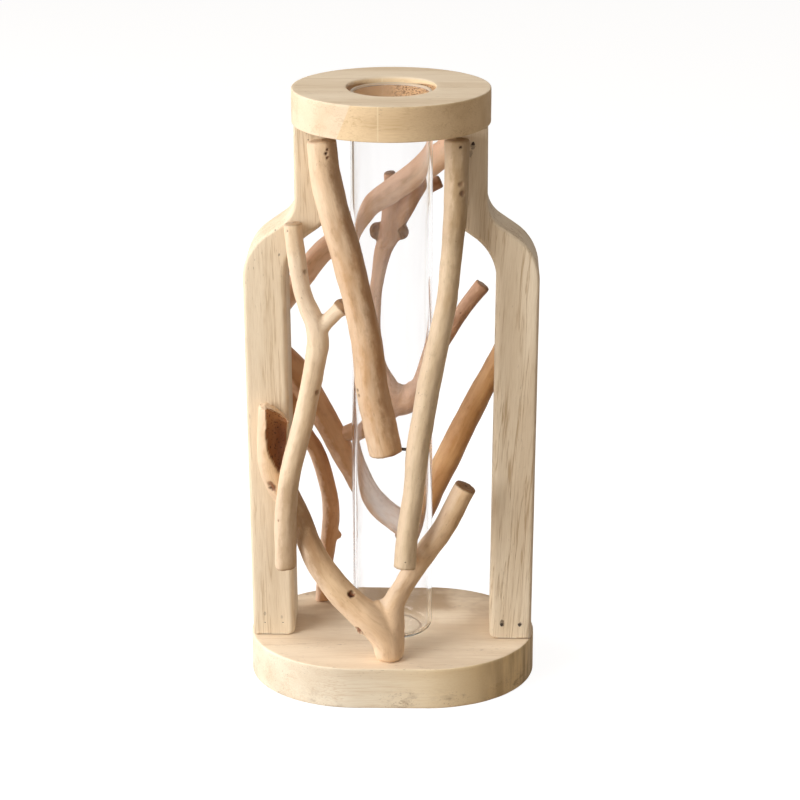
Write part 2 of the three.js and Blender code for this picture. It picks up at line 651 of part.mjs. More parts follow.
// A branch's end is cut to sit on another limb, and the piece beyond that limb is dropped
function cope(name, limbUnder) {
  const seat = limbUnder.map((one) => ({ at: one.at, thick: one.thick + 2 * SEAT_GAP }));
  const piece = pieces.get(name);
  const bodies = piece.body.subtract(limb(seat)).decompose();
  piece.body = bodies.reduce((most, next) => (next.volume() > most.volume() ? next : most));
}

function makeBranches() {
  const thick = thickBranch();
  const left = leftFork();
  const long = longBranch();
  const standing = standingFork();
  const upper = upperRearBranch();
  const knobby = knobbyFork();
  const lower = lowerRearFork();
  const right = rightRearBranch();
  addBranch("thick_branch", [thick], 0xd9ab78);
  addBranch("left_fork", left, 0xe6cfa6);
  addBranch("long_branch", [long], 0xdcc8a0);
  addBranch("standing_fork", standing, 0xe2c196);
  addBranch("upper_rear_branch", [upper], 0xc99a78);
  addBranch("knobby_fork", knobby, 0xb58a6c);
  addBranch("lower_rear_fork", lower, 0xa06f42);
  addBranch("right_rear_branch", [right], 0xb98c5a);
  cutFlatOnBase("standing_fork");
  cutFlatOnBase("lower_rear_fork");
  cutSplit(standing[0][12]);
  cope("knobby_fork", lower[0]);
  cope("right_rear_branch", lower[0]);
  nailFrontBranches(thick, left[0], long, standing);
  nailRearBranches(upper, knobby, lower, right);
}

// The whole vase

makeBaseBoard();
makeTopDisc();
makeGlassTube();
makePost("left_post", LEFT, 0xe0caa6);
makePost("right_post", RIGHT, 0xcdb48a);
nailPosts();
makeBranches();

for (const [name, { body, material }] of pieces) {
  const made = body.getMesh();
  const geometry = new THREE.BufferGeometry();
  geometry.setAttribute("position", new THREE.BufferAttribute(new Float32Array(made.vertProperties), 3));
  geometry.setIndex(new THREE.BufferAttribute(new Uint32Array(made.triVerts), 1));
  geometry.computeVertexNormals();
  const mesh = new THREE.Mesh(geometry, material);
  mesh.name = name;
  vase.add(mesh);
}

export default vase;
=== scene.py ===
import math

import bmesh
import bpy
import numpy as np
from mathutils import Matrix, Vector, noise
from mathutils.bvhtree import BVHTree


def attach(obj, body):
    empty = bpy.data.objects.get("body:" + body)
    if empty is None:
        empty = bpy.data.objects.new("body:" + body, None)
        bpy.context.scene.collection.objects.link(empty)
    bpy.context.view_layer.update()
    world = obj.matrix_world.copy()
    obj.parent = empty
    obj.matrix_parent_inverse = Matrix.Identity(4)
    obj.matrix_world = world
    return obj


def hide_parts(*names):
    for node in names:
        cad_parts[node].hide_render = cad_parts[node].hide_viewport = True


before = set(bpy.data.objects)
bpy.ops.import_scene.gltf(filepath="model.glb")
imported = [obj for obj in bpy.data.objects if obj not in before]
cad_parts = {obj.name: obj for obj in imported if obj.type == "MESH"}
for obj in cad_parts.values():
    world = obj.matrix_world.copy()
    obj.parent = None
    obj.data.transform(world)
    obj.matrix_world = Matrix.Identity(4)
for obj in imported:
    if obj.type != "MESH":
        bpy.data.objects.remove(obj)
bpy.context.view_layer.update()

# Wooden frame vase: base board, two posts, top disc, loose glass tube, nailed branches.
# Lengths are in millimetres until a mesh is made, but the floor, the lamps and the shifts of a wood's
# pattern are in metres. X is to the right, Y away from the viewer, Z up.
MM = 0.001

# Camera, turns in degrees
CAMERA_PLACE = (35.82, -1309.49, 569.15)
CAMERA_LENS = 125.11
CAMERA_SENSOR = 36.0
CAMERA_PITCH = 18.052
CAMERA_YAW = -1.395
CAMERA_ROLL = -0.107

# Ring of faces beside a rounded edge
FLAT_INSET = 1.5

# Base board
BASE_HALF_STRAIGHT = 17.0
BASE_END_RADIUS = 54.5
BASE_THICKNESS = 21.0
BASE_EDGE = 0.7
BASE_EDGE_STEPS = 5
BASE_RIM_RINGS = 14
BASE_END_STEPS = 96
BASE_SIDE_STEPS = 14
# Between which places the stains fade upwards, damp shows to the right, a painted shade tint warms and darkens the
# rim to the right, and painted shade darkens the top to the back
STAIN_FADE = (13, 3)
DAMP_END = (36, 70)
SHADE_TINT_END = (-30, 66)
SHADED_BACK = (-18, 46)

# Top disc
DISC_RADIUS = 48.0
DISC_UNDERSIDE = 283.0
DISC_TOP = 300.0
DISC_EDGE = 0.6
HOLE_RADIUS = 21.5
HOLE_EDGE_SIDE = 0.6
HOLE_EDGE_FRONT = 3.4
STAVE_JOINT = (-18.2, -17.7)
STAVE_LEAN = 0.39
STAVE_LINE = -5.0
GLUE_FADE = (0.5, 0.1)
TORN_SIDE = (-6, 8)
DISC_SEGMENTS = 192
DISC_SIDE_STEPS = 12
DISC_EDGE_STEPS = 5
# Rings of faces on the flats: outwards from the hole below, inwards from the rim above
DISC_UNDER_RING = 8.0
DISC_TOP_RING = 10.0
HOLE_EDGE_STEPS = 8
HOLE_EDGE_WEAR = 0.6

# Glass tube
TUBE_RADIUS = 20.0
TUBE_WALL = 1.8
TUBE_FLOOR = 1.8
TUBE_HEEL = 5.0
TUBE_FOOT = 21.0
TUBE_RIM = 298.0
# Rise of the foot's crown, at this radius and in the middle, under the tube and inside it
TUBE_CROWN_RADIUS = 5.0
TUBE_UNDER_CROWN = (0.35, 0.5)
TUBE_FLOOR_CROWN = (0.3, 0.4)
TUBE_SEGMENTS = 160
TUBE_WALL_STEPS = 30
TUBE_HEEL_STEPS = 8
TUBE_RIM_STEPS = 10

# Posts
POST_DEPTH = 30.0
INNER_EDGE = 2.4
OUTER_EDGE = 1.3
POST_FRONT = {"left_post": -12.0, "right_post": -15.0}
POST_SIDE = {"left_post": -1.0, "right_post": 1.0}
SHOULDER_RADIUS = 26.0
SHOULDER_TURN = 55.0
NECK_RADIUS = 15.0
FOOT_CORNER = 2.6
FOOT_STEPS = (0.4, 0.9, 1.5, 2.2, 3.0)
FACE_STEPS = (0.06, 0.2, 0.35, 0.5, 0.65, 0.8, 0.94)
CORNER_WEAR = (0.0, 0.6, 1.0, 1.0, 1.0, 0.6, 0.0)
# Edges of the right post: foot, middle of the shoulder arc, middle of the throat arc, neck
POST_OUTER_EDGE = ((70.0, BASE_THICKNESS), (46.0, 207.8), (61.5, 247.0), 46.5)
POST_INNER_EDGE = ((49.0, BASE_THICKNESS), (25.0, 207.6), (44.0, 244.4), 29.0)
LEG_STEPS = 70
SHOULDER_STEPS = 18
SLOPE_STEPS = 5
THROAT_STEPS = 12
NECK_STEPS = 14
END_CAP_SHARE = 0.94
END_CAP_STEP = 0.5
END_CAP_WEAR = 0.6

# Hand sanding: (depth, size of the hollows)
BASE_SANDING = (0.18, 14)
BASE_EDGE_SANDING = (0.5, 6)
POST_SANDING = (0.2, 24)
POST_EDGE_SANDING = (0.35, 9)
DISC_SANDING = (0.16, 12)
BORE_TEARING = (0.3, 2.5)

# Branches: each limb is a row of stations (x, y, z, thickness)
BRANCH_LIMBS = {
    "thick_branch": [
        [
            (-32.6, -19.8, 278.0, 14.1), (-31.3, -20.9, 263.1, 15.0), (-26.5, -22.3, 242.1, 15.0),
            (-20.4, -23.8, 220.1, 15.2), (-15.5, -25.2, 199.9, 14.6), (-11.5, -26.6, 180.6, 15.0),
            (-9.2, -28.1, 159.1, 16.0), (-5.6, -29.3, 141.5, 16.5), (-2.0, -30.5, 124.5, 16.6),
        ],
    ],
    "left_fork": [
        [
            (-46.9, -17.0, 236.9, 9.0), (-46.5, -17.7, 230.1, 9.2), (-45.6, -18.4, 222.7, 9.2),
            (-43.6, -19.8, 208.6, 8.7), (-41.2, -20.7, 199.2, 8.6), (-36.8, -21.8, 188.2, 10.0),
            (-35.2, -22.7, 178.7, 11.0), (-36.2, -23.5, 171.1, 10.7), (-39.6, -25.3, 152.8, 10.4),
            (-42.0, -26.4, 141.5, 10.6), (-48.8, -29.0, 115.1, 10.2), (-51.2, -30.8, 97.0, 10.8),
            (-51.8, -32.9, 76.0, 10.9), (-51.9, -33.8, 68.6, 10.8), (-51.6, -34.0, 65.8, 10.0),
        ],
        [(-36.2, -22.3, 182.9, 8.6), (-30.5, -21.7, 189.2, 7.6), (-23.8, -21.0, 196.0, 7.2)],
    ],
    "long_branch": [
        [
            (31.5, -21.5, 279.1, 12.3), (31.6, -22.3, 269.1, 12.0), (31.2, -24.2, 245.0, 11.4),
            (29.8, -25.3, 230.6, 10.5), (27.2, -27.5, 201.8, 10.3), (22.3, -29.4, 177.4, 11.1),
            (18.2, -30.9, 157.5, 11.4), (13.4, -33.3, 127.4, 11.2), (11.1, -35.0, 105.1, 10.3),
            (8.3, -36.6, 83.9, 10.8), (7.1, -37.9, 67.9, 10.8),
        ],
    ],
    "standing_fork": [
        [
            (-0.7, -41.0, 21.0, 10.4), (-0.7, -41.0, 22.3, 13.2), (-0.7, -40.9, 24.4, 14.4),
            (-2.0, -40.2, 31.0, 15.6),
            (-6.2, -39.4, 37.8, 16.8), (-10.8, -38.8, 41.8, 16.6), (-16.7, -37.2, 46.4, 15.0),
            (-25.6, -34.8, 54.4, 14.0), (-34.2, -31.4, 65.3, 13.0), (-40.6, -26.5, 76.5, 12.0),
            (-46.1, -18.4, 87.5, 12.2),
            (-51.2, -18.7, 97.5, 12.8), (-56.6, -19.0, 106.9, 13.4), (-58.8, -19.3, 116.9, 14.0),
            (-58.4, -19.7, 131.0, 14.8), (-57.2, -19.8, 146.0, 15.0),
        ],
        [
            (0.0, -40.6, 24.9, 13.4), (0.4, -39.4, 37.0, 13.4), (1.2, -36.6, 47.0, 11.6),
            (6.4, -31.1, 55.8, 9.9), (12.0, -27.0, 64.2, 10.6), (18.2, -26.6, 73.4, 11.2),
            (26.0, -26.6, 84.9, 11.3), (36.9, -26.6, 106.8, 11.3),
        ],
    ],
    "upper_rear_branch": [
        [
            (-59.7, 23.8, 180.0, 11.0), (-54.8, 23.8, 186.1, 11.0), (-43.4, 25.0, 200.6, 11.2),
            (-35.4, 25.5, 210.9, 11.2), (-23.6, 25.8, 221.5, 10.2), (-17.0, 25.8, 228.7, 10.2),
            (-10.6, 26.5, 235.9, 11.4), (-1.2, 26.9, 241.8, 12.6), (11.2, 26.9, 250.2, 13.2),
            (21.2, 24.8, 258.8, 13.0), (33.5, 21.8, 268.9, 12.4), (39.0, 21.0, 273.6, 11.4),
        ],
    ],
    "knobby_fork": [
        [
            (-2.2, 37.6, 249.5, 6.4), (-1.4, 37.1, 242.1, 8.0), (-1.3, 36.2, 228.0, 10.4),
            (-1.8, 35.6, 218.5, 11.4), (-5.8, 35.0, 209.1, 9.0), (-9.0, 34.0, 193.9, 7.6),
            (-10.4, 33.2, 181.3, 7.6), (-10.4, 32.2, 165.9, 8.0), (-8.0, 31.2, 150.4, 8.6),
            (-1.0, 30.1, 133.0, 13.0), (-7.0, 28.6, 125.0, 12.4), (-16.0, 27.3, 118.6, 9.8),
            (-26.0, 26.5, 114.6, 7.8),
        ],
        [
            (-1.0, 29.9, 130.0, 12.0), (8.5, 30.1, 132.6, 12.6), (15.2, 29.9, 142.0, 9.8),
            (20.6, 29.9, 155.9, 7.8), (29.5, 29.7, 171.9, 7.4), (37.6, 29.8, 184.0, 7.6),
            (45.0, 30.0, 193.6, 8.2),
        ],
        [
            (-0.4, 35.6, 219.1, 8.6), (5.0, 36.1, 229.8, 10.4), (13.0, 36.7, 239.4, 9.2),
            (23.6, 37.2, 244.6, 6.4),
        ],
        [(-2.0, 35.6, 219.1, 8.4), (-8.6, 35.7, 220.1, 8.2)],
        [(0.0, 35.6, 217.8, 8.4), (3.6, 35.8, 219.0, 7.2)],
    ],
    "lower_rear_fork": [
        [
            (-61.0, 25.8, 160.1, 15.0), (-54.4, 25.8, 153.6, 15.0), (-49.2, 25.8, 148.1, 15.0),
            (-42.4, 26.8, 137.6, 13.6), (-35.2, 27.0, 124.0, 12.8), (-28.8, 27.3, 111.1, 12.5),
            (-22.3, 27.6, 98.6, 12.5), (-14.4, 28.0, 84.4, 12.5), (-7.0, 28.0, 75.5, 12.5),
            (1.5, 28.2, 68.4, 12.8), (10.0, 28.2, 62.4, 12.8),
        ],
        [
            (-54.4, 25.7, 148.1, 9.0), (-53.7, 26.4, 138.1, 8.6), (-51.2, 27.1, 129.5, 8.2),
            (-45.4, 28.1, 115.6, 8.2), (-39.8, 28.8, 105.9, 8.4), (-36.0, 29.6, 94.6, 8.6),
            (-32.8, 30.8, 78.9, 9.0), (-32.4, 31.6, 67.9, 9.0), (-34.2, 32.7, 53.0, 8.4),
            (-36.4, 33.9, 35.9, 7.8), (-37.1, 34.9, 25.0, 7.9), (-37.1, 35.0, 21.0, 8.0),
        ],
    ],
    "right_rear_branch": [
        [
            (6.0, 28.3, 57.4, 13.0), (13.7, 27.6, 72.6, 13.6), (20.2, 26.4, 87.5, 13.2),
            (30.6, 25.0, 110.1, 12.8), (40.6, 22.9, 132.1, 12.2), (51.5, 21.0, 154.1, 11.4),
            (60.1, 21.0, 171.1, 11.4),
        ],
    ],
}

# Knobs and swellings on the branches: (x, y, z, radius)
BRANCH_KNOBS = {
    "left_fork": [(-23.6, -21.0, 195.8, 4.4)],
    "standing_fork": [(15.4, -28.6, 71.6, 4.3), (-5.0, -36.6, 45.4, 5.2), (-15.0, -42.4, 36.6, 2.3)],
    "knobby_fork": [
        (-9.0, 35.7, 219.6, 4.4), (4.3, 35.9, 219.2, 4.2), (-5.0, 31.6, 214.0, 3.1),
        (11.0, 30.2, 136.6, 6.3), (3.6, 30.0, 136.0, 5.2),
    ],
    "upper_rear_branch": [(-25.2, 25.6, 220.2, 6.0)],
    "lower_rear_fork": [(-29.2, 31.9, 58.4, 2.3)],
}

# Pits, knots and stained places: (limb, along the limb, turn from the front, radius, depth, darkness)
BRANCH_PITS = {
    "thick_branch": [
        (0, 3.7, 24.0, 0.7, 0.9, 1.0), (0, 5.5, 18.0, 0.8, 1.0, 1.0), (0, 7.5, 21.0, 0.7, 0.9, 0.9),
        (0, 12.7, -1.0, 0.4, 0.3, 0.6), (0, 122.9, -60.0, 1.0, 0.6, 0.7), (0, 125.2, -58.0, 1.1, 0.6, 0.7),
    ],
    "left_fork": [
        (0, 3.3, -37.0, 0.5, 0.5, 0.8), (0, 150.0, -42.0, 0.5, 0.5, 0.8), (0, 83.6, 46.0, 1.5, 0.6, 0.7),
        (0, 24.0, 52.0, 1.6, 0.3, 0.5),
    ],
    "long_branch": [
        (0, 3.1, 19.0, 0.8, 0.8, 1.0), (0, 20.7, 22.0, 1.5, 0.5, 0.5), (0, 25.2, 33.0, 1.8, 0.7, 0.6),
    ],
    "standing_fork": [
        (0, 38.8, 45.0, 2.1, 1.8, 1.0), (0, 108.2, -22.0, 2.3, 1.0, 0.9), (0, 110.4, -24.0, 1.9, 0.8, 0.75),
        (0, 24.4, -56.0, 2.3, 1.4, 0.9),
    ],
}

# Sawn ends that show end grain: (limb, first or last station, how dark it has weathered)
BRANCH_ENDS = {
    "thick_branch": [(0, 0, 0.2), (0, -1, 0.4)],
    "left_fork": [(0, 0, 0.5), (0, -1, 0.4), (1, -1, 0.9)],
    "long_branch": [(0, 0, 0.25), (0, -1, 0.4)],
    "standing_fork": [(1, -1, 1.0)],
    "upper_rear_branch": [(0, 0, 0.6), (0, -1, 0.6)],
    "knobby_fork": [(0, 0, 0.7), (1, -1, 0.6), (2, -1, 0.6), (3, -1, 0.8), (4, -1, 0.8)],
    "lower_rear_fork": [(0, 0, 0.6), (0, -1, 0.6)],
    "right_rear_branch": [(0, 0, 0.6), (0, -1, 0.6)],
}

# The broken-open end of the standing fork's left arm; along an endless size, a roughness stays the same
SPLIT_MIDDLE = -55.0
SPLIT_LOW = 112.5
SPLIT_FULL = 128.0
SPLIT_PALING = (131.0, 147.0)
# where the split's left wall gets its painted highlight
SPLIT_LIT_LEFT_WALL = (-53.5, -58.5)
SPLIT_HALF_WIDTH = 5.9
SPLIT_LIP = -26.2
SPLIT_DEPTH = 6.4
SPLIT_ROUGHNESS = 0.5
SPLIT_ROUGH_SIZE = (2.0, math.inf, 6.0)
SPLIT_WANDER = 0.16
SPLIT_WANDER_SIZE = (math.inf, 9.0, 5.0)
SPLIT_TAPER = 1.2
SPLIT_BOWL = 0.7
SPLIT_START = 0.4
SPLIT_SHADE = (0.2, 1.4)
SPLIT_ARM_SIDE = -40.0
SPLIT_BEHIND = -18.5
BROKEN_LOW = 135.0
BROKEN_HIGH = 146.0
BROKEN_START = -61.5
BROKEN_WIDTH = 12.0
BROKEN_FALL = 7.0
BROKEN_TEETH = 1.8
TOOTH_SIZE = (1.6, 1.6, math.inf)

# Pits: where the bottom ends, the stain fades and the rim lies, as shares of the radius
PIT_BOTTOM = 0.3
PIT_STAIN = 0.5
PIT_RIM = 1.15
# How ragged the stain is, how wide its rags are, and how far from the skin a pit is looked for
PIT_RAG = 0.45
PIT_RAG_SIZE = 1.1
PIT_REACH = 3.0

# Branch surface
LIMB_STEP = 0.9
LIMB_FACETS = 28
LIMB_VOXEL = 0.6
LIMB_SMOOTHING = 5
LUMP_HEIGHT = 0.5
LUMP_SIZE = (7.0, 20.0)
RIDGE_HEIGHT = 0.12
RIDGE_SIZE = (2.2, 16.0)
WAVE_GAIN = 3.0
LINE_STEPS = 24
CROTCH_BLEND = 1.2
END_SKIN = (-1.3, -0.5)
END_REACH = 1.4
STRETCH_FADE = 5.0
RING_WIDTH = 1.15
PITH_FADE = (0.9, 0.4)

# Nails
NAIL_RADIUS = 0.8
FINE_NAIL_SHARE = 0.62
NAIL_PROUD = 0.1
NAIL_UNDERSIDE = -0.5
NAIL_FROM_BELOW = -0.9
NAIL_SEARCH = 3.0
NAIL_SIDES = 16
NAIL_HEAD_RINGS = 10
NAIL_HEAD = (1.15, 1.15, 0.5)
FILLED_NAILS = ("left_foot_nail", "left_neck_nail")
NAIL_FILLER = 1.2


def tone(red, green, blue):
    """A colour as it looks on a screen, 0 to 255, as a linear colour."""
    shares = [v / 255 for v in (red, green, blue)]
    linear = [v / 12.92 if v <= 0.04045 else ((v + 0.055) / 1.055) ** 2.4 for v in shares]
    return (*linear, 1.0)


def add_node(tree, kind, sockets=None, **settings):
    """Adds a node; a socket's value is a number, a colour or another node's output."""
    node = tree.nodes.new(kind)
    for setting, value in settings.items():
        setattr(node, setting, value)
    for key, value in (sockets or {}).items():
        if isinstance(value, bpy.types.NodeSocket):
            tree.links.new(value, node.inputs[key])
        else:
            node.inputs[key].default_value = value
    return node


def first(tree, kind, sockets=None, **settings):
    """Adds a node and gives back its first output."""
    return add_node(tree, kind, sockets, **settings).outputs[0]


def fibre_scale(across, length):
    """Scale of a noise that is this large across and along the fibre."""
    return (1 / (across * MM), 1 / (across * MM), 1 / (length * MM))


class Finish:
    """A material under way: each call adds a layer and gives back its output."""

    def __init__(self, name):
        self.material = bpy.data.materials.new(name)
        self.material.use_nodes = True
        self.tree = self.material.node_tree
        self.tree.nodes.clear()
        self.shader = self.node("ShaderNodeBsdfPrincipled")
        self.output = self.node("ShaderNodeOutputMaterial", {"Surface": self.shader.outputs["BSDF"]})

    def node(self, kind, sockets=None, **settings):
        return add_node(self.tree, kind, sockets, **settings)

    def set(self, **sockets):
        for key, value in sockets.items():
            socket = self.shader.inputs[key.replace("_", " ")]
            if isinstance(value, bpy.types.NodeSocket):
                self.tree.links.new(value, socket)
            else:
                socket.default_value = value

    def math(self, operation, a, b=0.0):
        return first(self.tree, "ShaderNodeMath", {0: a, 1: b}, operation=operation)

    def plus(self, a, b):
        return self.math("ADD", a, b)

    def minus(self, a, b):
        return self.math("SUBTRACT", a, b)

    def times(self, a, b):
        return self.math("MULTIPLY", a, b)

    def parts(self, vector):
        """The X, Y and Z of a vector."""
        return self.node("ShaderNodeSeparateXYZ", {"Vector": vector}).outputs

    def place(self):
        """Object coordinates."""
        return self.node("ShaderNodeTexCoord").outputs["Object"]

    def stretch(self, place, across, length):
        """Scales a place so that a noise gets this size across and along the fibre."""
        size = fibre_scale(across, length)
        return first(self.tree, "ShaderNodeVectorMath", {0: place, 1: size}, operation="MULTIPLY")

    def noise(self, place, across, length, detail=2.0, roughness=0.5, distortion=0.0):
        sockets = {
            "Vector": self.stretch(place, across, length),
            "Scale": 1.0,
            "Detail": detail,
            "Roughness": roughness,
            "Distortion": distortion,
        }
        return self.node("ShaderNodeTexNoise", sockets).outputs["Fac"]

    def step(self, value, low, high, top=1.0):
        """Rises softly from 0 to top as the value goes from low to high."""
        sockets = {"Value": value, "From Min": low, "From Max": high, "To Min": 0.0, "To Max": top}
        return self.node("ShaderNodeMapRange", sockets, interpolation_type="SMOOTHSTEP").outputs["Result"]

    def between(self, place, low, high, top=1.0):
        """Rises softly from 0 to top between two places in millimetres."""
        return self.step(place, low * MM, high * MM, top)

    def blend(self, share, a, b, mode="MIX"):
        node = self.node("ShaderNodeMix", {0: share, 6: a, 7: b}, data_type="RGBA", blend_type=mode)
        return node.outputs[2]

    def attribute(self, name, output="Fac"):
        return self.node("ShaderNodeAttribute", attribute_name=name).outputs[output]

    def bump(self, height, strength, distance):
        sockets = {"Height": height, "Strength": strength, "Distance": distance * MM}
        return self.node("ShaderNodeBump", sockets).outputs["Normal"]


# Tones
PIT_DARK = tone(62, 32, 16)
PIT_BROWN = tone(134, 80, 46)
END_BROWN = tone(138, 102, 66)
END_DARK = tone(88, 58, 36)
HOLLOW_DARK = tone(112, 62, 30)
HOLLOW_LIGHT = tone(182, 128, 80)
# Tones of the painted highlight on the left sides of the branches
LIT_SIDE_TONE = tone(244, 222, 198)
PINK_LIT_SIDE = tone(255, 214, 184)
PALE_LIT_SIDE = tone(255, 224, 200)
STAIN_BROWN = tone(118, 82, 44)
# Tones of the painted shade on the board: the warm tint of the rim's right end and the darker back of the top
RIM_SHADE_TINT = tone(238, 208, 150)
BACK_SHADE_TONE = tone(174, 140, 102)
STAVE_TINT = tone(252, 244, 226)
GLUE_PALE = tone(248, 232, 200)
BORE_TONE = tone(196, 150, 108)
PORE_BROWN = tone(112, 84, 54)
POST_SIDE_TONE = tone(245, 231, 207)
POST_FLAT_TONE = tone(240, 224, 198)
NAIL_GREY = tone(72, 62, 52)
NAIL_RUST = tone(60, 36, 22)
GLASS_CLEAR = (0.974, 0.973, 0.976, 1.0)
# Glass colours: the foot tone is painted shade, the rim tone a painted view of the wood through the glass
GLASS_FOOT_SHADE = (0.86, 0.82, 0.75, 1.0)
GLASS_RIM_WOOD_TINT = (0.70, 0.58, 0.43, 1.0)
GLASS_FOOT_FADE = (TUBE_FOOT + 5.0, TUBE_FOOT + 0.4)
GLASS_RIM_FADE = (TUBE_RIM - 1.6, TUBE_RIM - 0.5)
GLASS_INDEX = 1.25
RIM_FROST = 0.75

# Torn and stained places in the fronts of the posts: (x, z, half width, half height, darkness)
LEFT_SCARS = [
    (-54.1, 219.5, 0.5, 0.9, 0.5), (-55.9, 232.0, 0.5, 0.7, 0.5), (-54.4, 233.4, 0.4, 0.6, 0.4),
    (-64.2, 32.5, 0.7, 1.2, 0.3), (-55.6, 30.7, 0.6, 0.8, 0.25),
]
RIGHT_SCARS = [
    (55.4, 29.5, 1.1, 1.9, 0.7), (64.5, 28.8, 1.0, 1.4, 0.6),
    (39.2, 274.3, 1.2, 1.8, 0.5), (38.2, 270.6, 0.8, 1.8, 0.35),
]

# Branch tones: light, middle and dark wood, the tone of the painted highlight on the left side, how strong that
# painted highlight is, and how strong the painted shade on the right side is
BRANCH_FINISHES = {
    "thick_branch": (tone(226, 198, 166), tone(208, 168, 126), tone(136, 90, 50), LIT_SIDE_TONE, 0.4, 0.6),
    "left_fork": (tone(234, 212, 182), tone(218, 192, 158), tone(156, 118, 80), LIT_SIDE_TONE, 0.6, 0.15),
    "long_branch": (tone(220, 198, 166), tone(196, 168, 130), tone(128, 98, 62), LIT_SIDE_TONE, 0.4, 0.08),
    "standing_fork": (tone(232, 202, 164), tone(212, 176, 134), tone(144, 98, 58), LIT_SIDE_TONE, 0.6, 0.15),
    "upper_rear_branch": (tone(244, 210, 180), tone(222, 178, 142), tone(140, 92, 60), PINK_LIT_SIDE, 1.0, 0.0),
    "knobby_fork": (tone(232, 196, 164), tone(198, 150, 112), tone(116, 74, 46), PINK_LIT_SIDE, 0.35, 0.3),
    "lower_rear_fork": (tone(206, 158, 116), tone(184, 132, 88), tone(120, 76, 46), PALE_LIT_SIDE, 1.0, 0.0),
    "right_rear_branch": (tone(204, 158, 108), tone(184, 134, 84), tone(124, 78, 42), LIT_SIDE_TONE, 0.1, 0.2),
}
# Stretches of a branch blended towards another tone, some of them painted light or shade as noted: (axis, from,
# to, tone, share)
BRANCH_STRETCHES = {
    # thick branch: painted light, lightening its upper end
    "thick_branch": [("Z", 245, 300, tone(244, 220, 188), 0.6)],
    # left fork: a paler upper stretch, and painted shade darkening its lower end from Z 50 to 110
    "left_fork": [("Z", 184, 222, tone(246, 228, 204), 0.6), ("Z", 50, 110, tone(164, 132, 98), 0.4)],
    "long_branch": [("Z", 228, 300, tone(150, 120, 84), 0.4), ("Z", 0, 200, tone(232, 212, 182), 0.5)],
    "standing_fork": [
        # standing fork: the stretch from X -48 to -34 is a painted shadow of the left fork on its left arm
        ("Z", 0, 50, tone(244, 216, 184), 0.4), ("X", -48, -34, tone(130, 92, 58), 0.6),
        ("X", 2, 28, tone(246, 218, 186), 0.35),
    ],
    "knobby_fork": [("Z", 138, 206, tone(252, 224, 202), 0.5), ("X", 12, 60, tone(160, 104, 62), 0.65)],
    # lower rear fork: the pale stretch behind the tube is a painted reflection, a veil of the glass in front of it
    "lower_rear_fork": [("X", -18, 30, tone(255, 243, 234), 0.85)],
    "right_rear_branch": [("Z", 50, 100, tone(160, 110, 64), 0.5)],
}
# How far the pattern is shifted from one branch to the next
BRANCH_SHIFT = (0.031, 0.017, 0.053)
# Branches in the slot of the lighter wood
LIGHT_BRANCHES = ("thick_branch", "left_fork", "long_branch", "standing_fork")

# Sawn and sanded boards: how the fibre is turned
LEFT_FIBRE = (0.0, math.radians(1.5), 0.0)
RIGHT_FIBRE = (0.0, math.radians(-3.5), 0.0)
FIBRE_ACROSS = (0.0, math.radians(-90.0), 0.0)


def rim_stains_and_painted_shade(f, source, at, flat, colour):
    """Blots on the board's rim, upright streaks at its right end, a painted shade tint that warms and darkens the
    rim towards its right end, and painted shade that darkens the flat faces towards the back.
    """
    side = f.minus(1.0, flat)
    patch = f.step(f.noise(source["Object"], 26, 30, 2.0), 0.42, 0.6)
    low = f.times(f.between(at["Z"], *STAIN_FADE), patch)
    blot = f.step(f.noise(source["Object"], 7.0, 3.0, 4.0, 0.65), 0.46, 0.72, 0.5)
    speck = f.step(f.noise(source["Object"], 1.1, 0.7, 2.0), 0.6, 0.72, 0.6)
    streak = f.step(f.noise(source["Object"], 6.0, 40, 3.0), 0.36, 0.66, 0.65)
    damp = f.between(at["X"], *DAMP_END)
    # painted shade tint: the rim grows warmer and darker towards its right end, the side turned away from the
    # lamps
    shade_tint = f.between(at["X"], *SHADE_TINT_END, 0.75)
    colour = f.blend(f.times(shade_tint, side), colour, RIM_SHADE_TINT)
    for mask in (f.times(low, blot), f.times(low, speck), f.times(damp, streak)):
        colour = f.blend(f.times(mask, side), colour, STAIN_BROWN)
    # painted shade: the board's flat faces darken in cloudy patches towards the back
    back = f.between(at["Y"], *SHADED_BACK, 0.8)
    cloud = f.step(f.noise(source["Object"], 24, 24, 3.0), 0.3, 0.6)
    back = f.times(f.times(back, cloud), flat)
    return f.blend(back, colour, BACK_SHADE_TONE)


def glued_staves(f, source, at, flat, colour):
    """The disc's rim is glued up from staves of two tones, with a slanted joint and a pale glue line."""
    side = f.minus(1.0, flat)
    lean = f.times(f.minus(at["Z"], DISC_TOP * MM), STAVE_LEAN)
    joint = f.between(f.minus(at["X"], lean), *STAVE_JOINT)
    colour = f.blend(f.times(joint, side), colour, STAVE_TINT, "MULTIPLY")
    off = f.math("ABSOLUTE", f.minus(at["X"], STAVE_LINE * MM))
    line = f.times(f.between(off, *GLUE_FADE, 0.5), side)
    return f.blend(line, colour, GLUE_PALE)


def post_scars(places):
    """Torn and stained places in a post's front."""
    def mark(f, source, at, flat, colour):
        torn = f.times(f.minus(f.noise(source["Object"], 0.8, 0.8, 3.0), 0.5), 3.0)
        front = f.step(f.parts(source["Normal"])["Y"], -0.5, -0.8)
        for x, z, wide, high, dark in places:
            across = f.times(f.minus(at["X"], x * MM), 1 / (wide * MM))
            rise = f.times(f.minus(at["Z"], z * MM), 1 / (high * MM))
            away = f.plus(f.times(across, across), f.times(rise, rise))
            mask = f.step(f.plus(away, torn), 1.2, 0.5, dark)
            colour = f.blend(f.times(mask, front), colour, PIT_DARK)
        return colour
    return mark


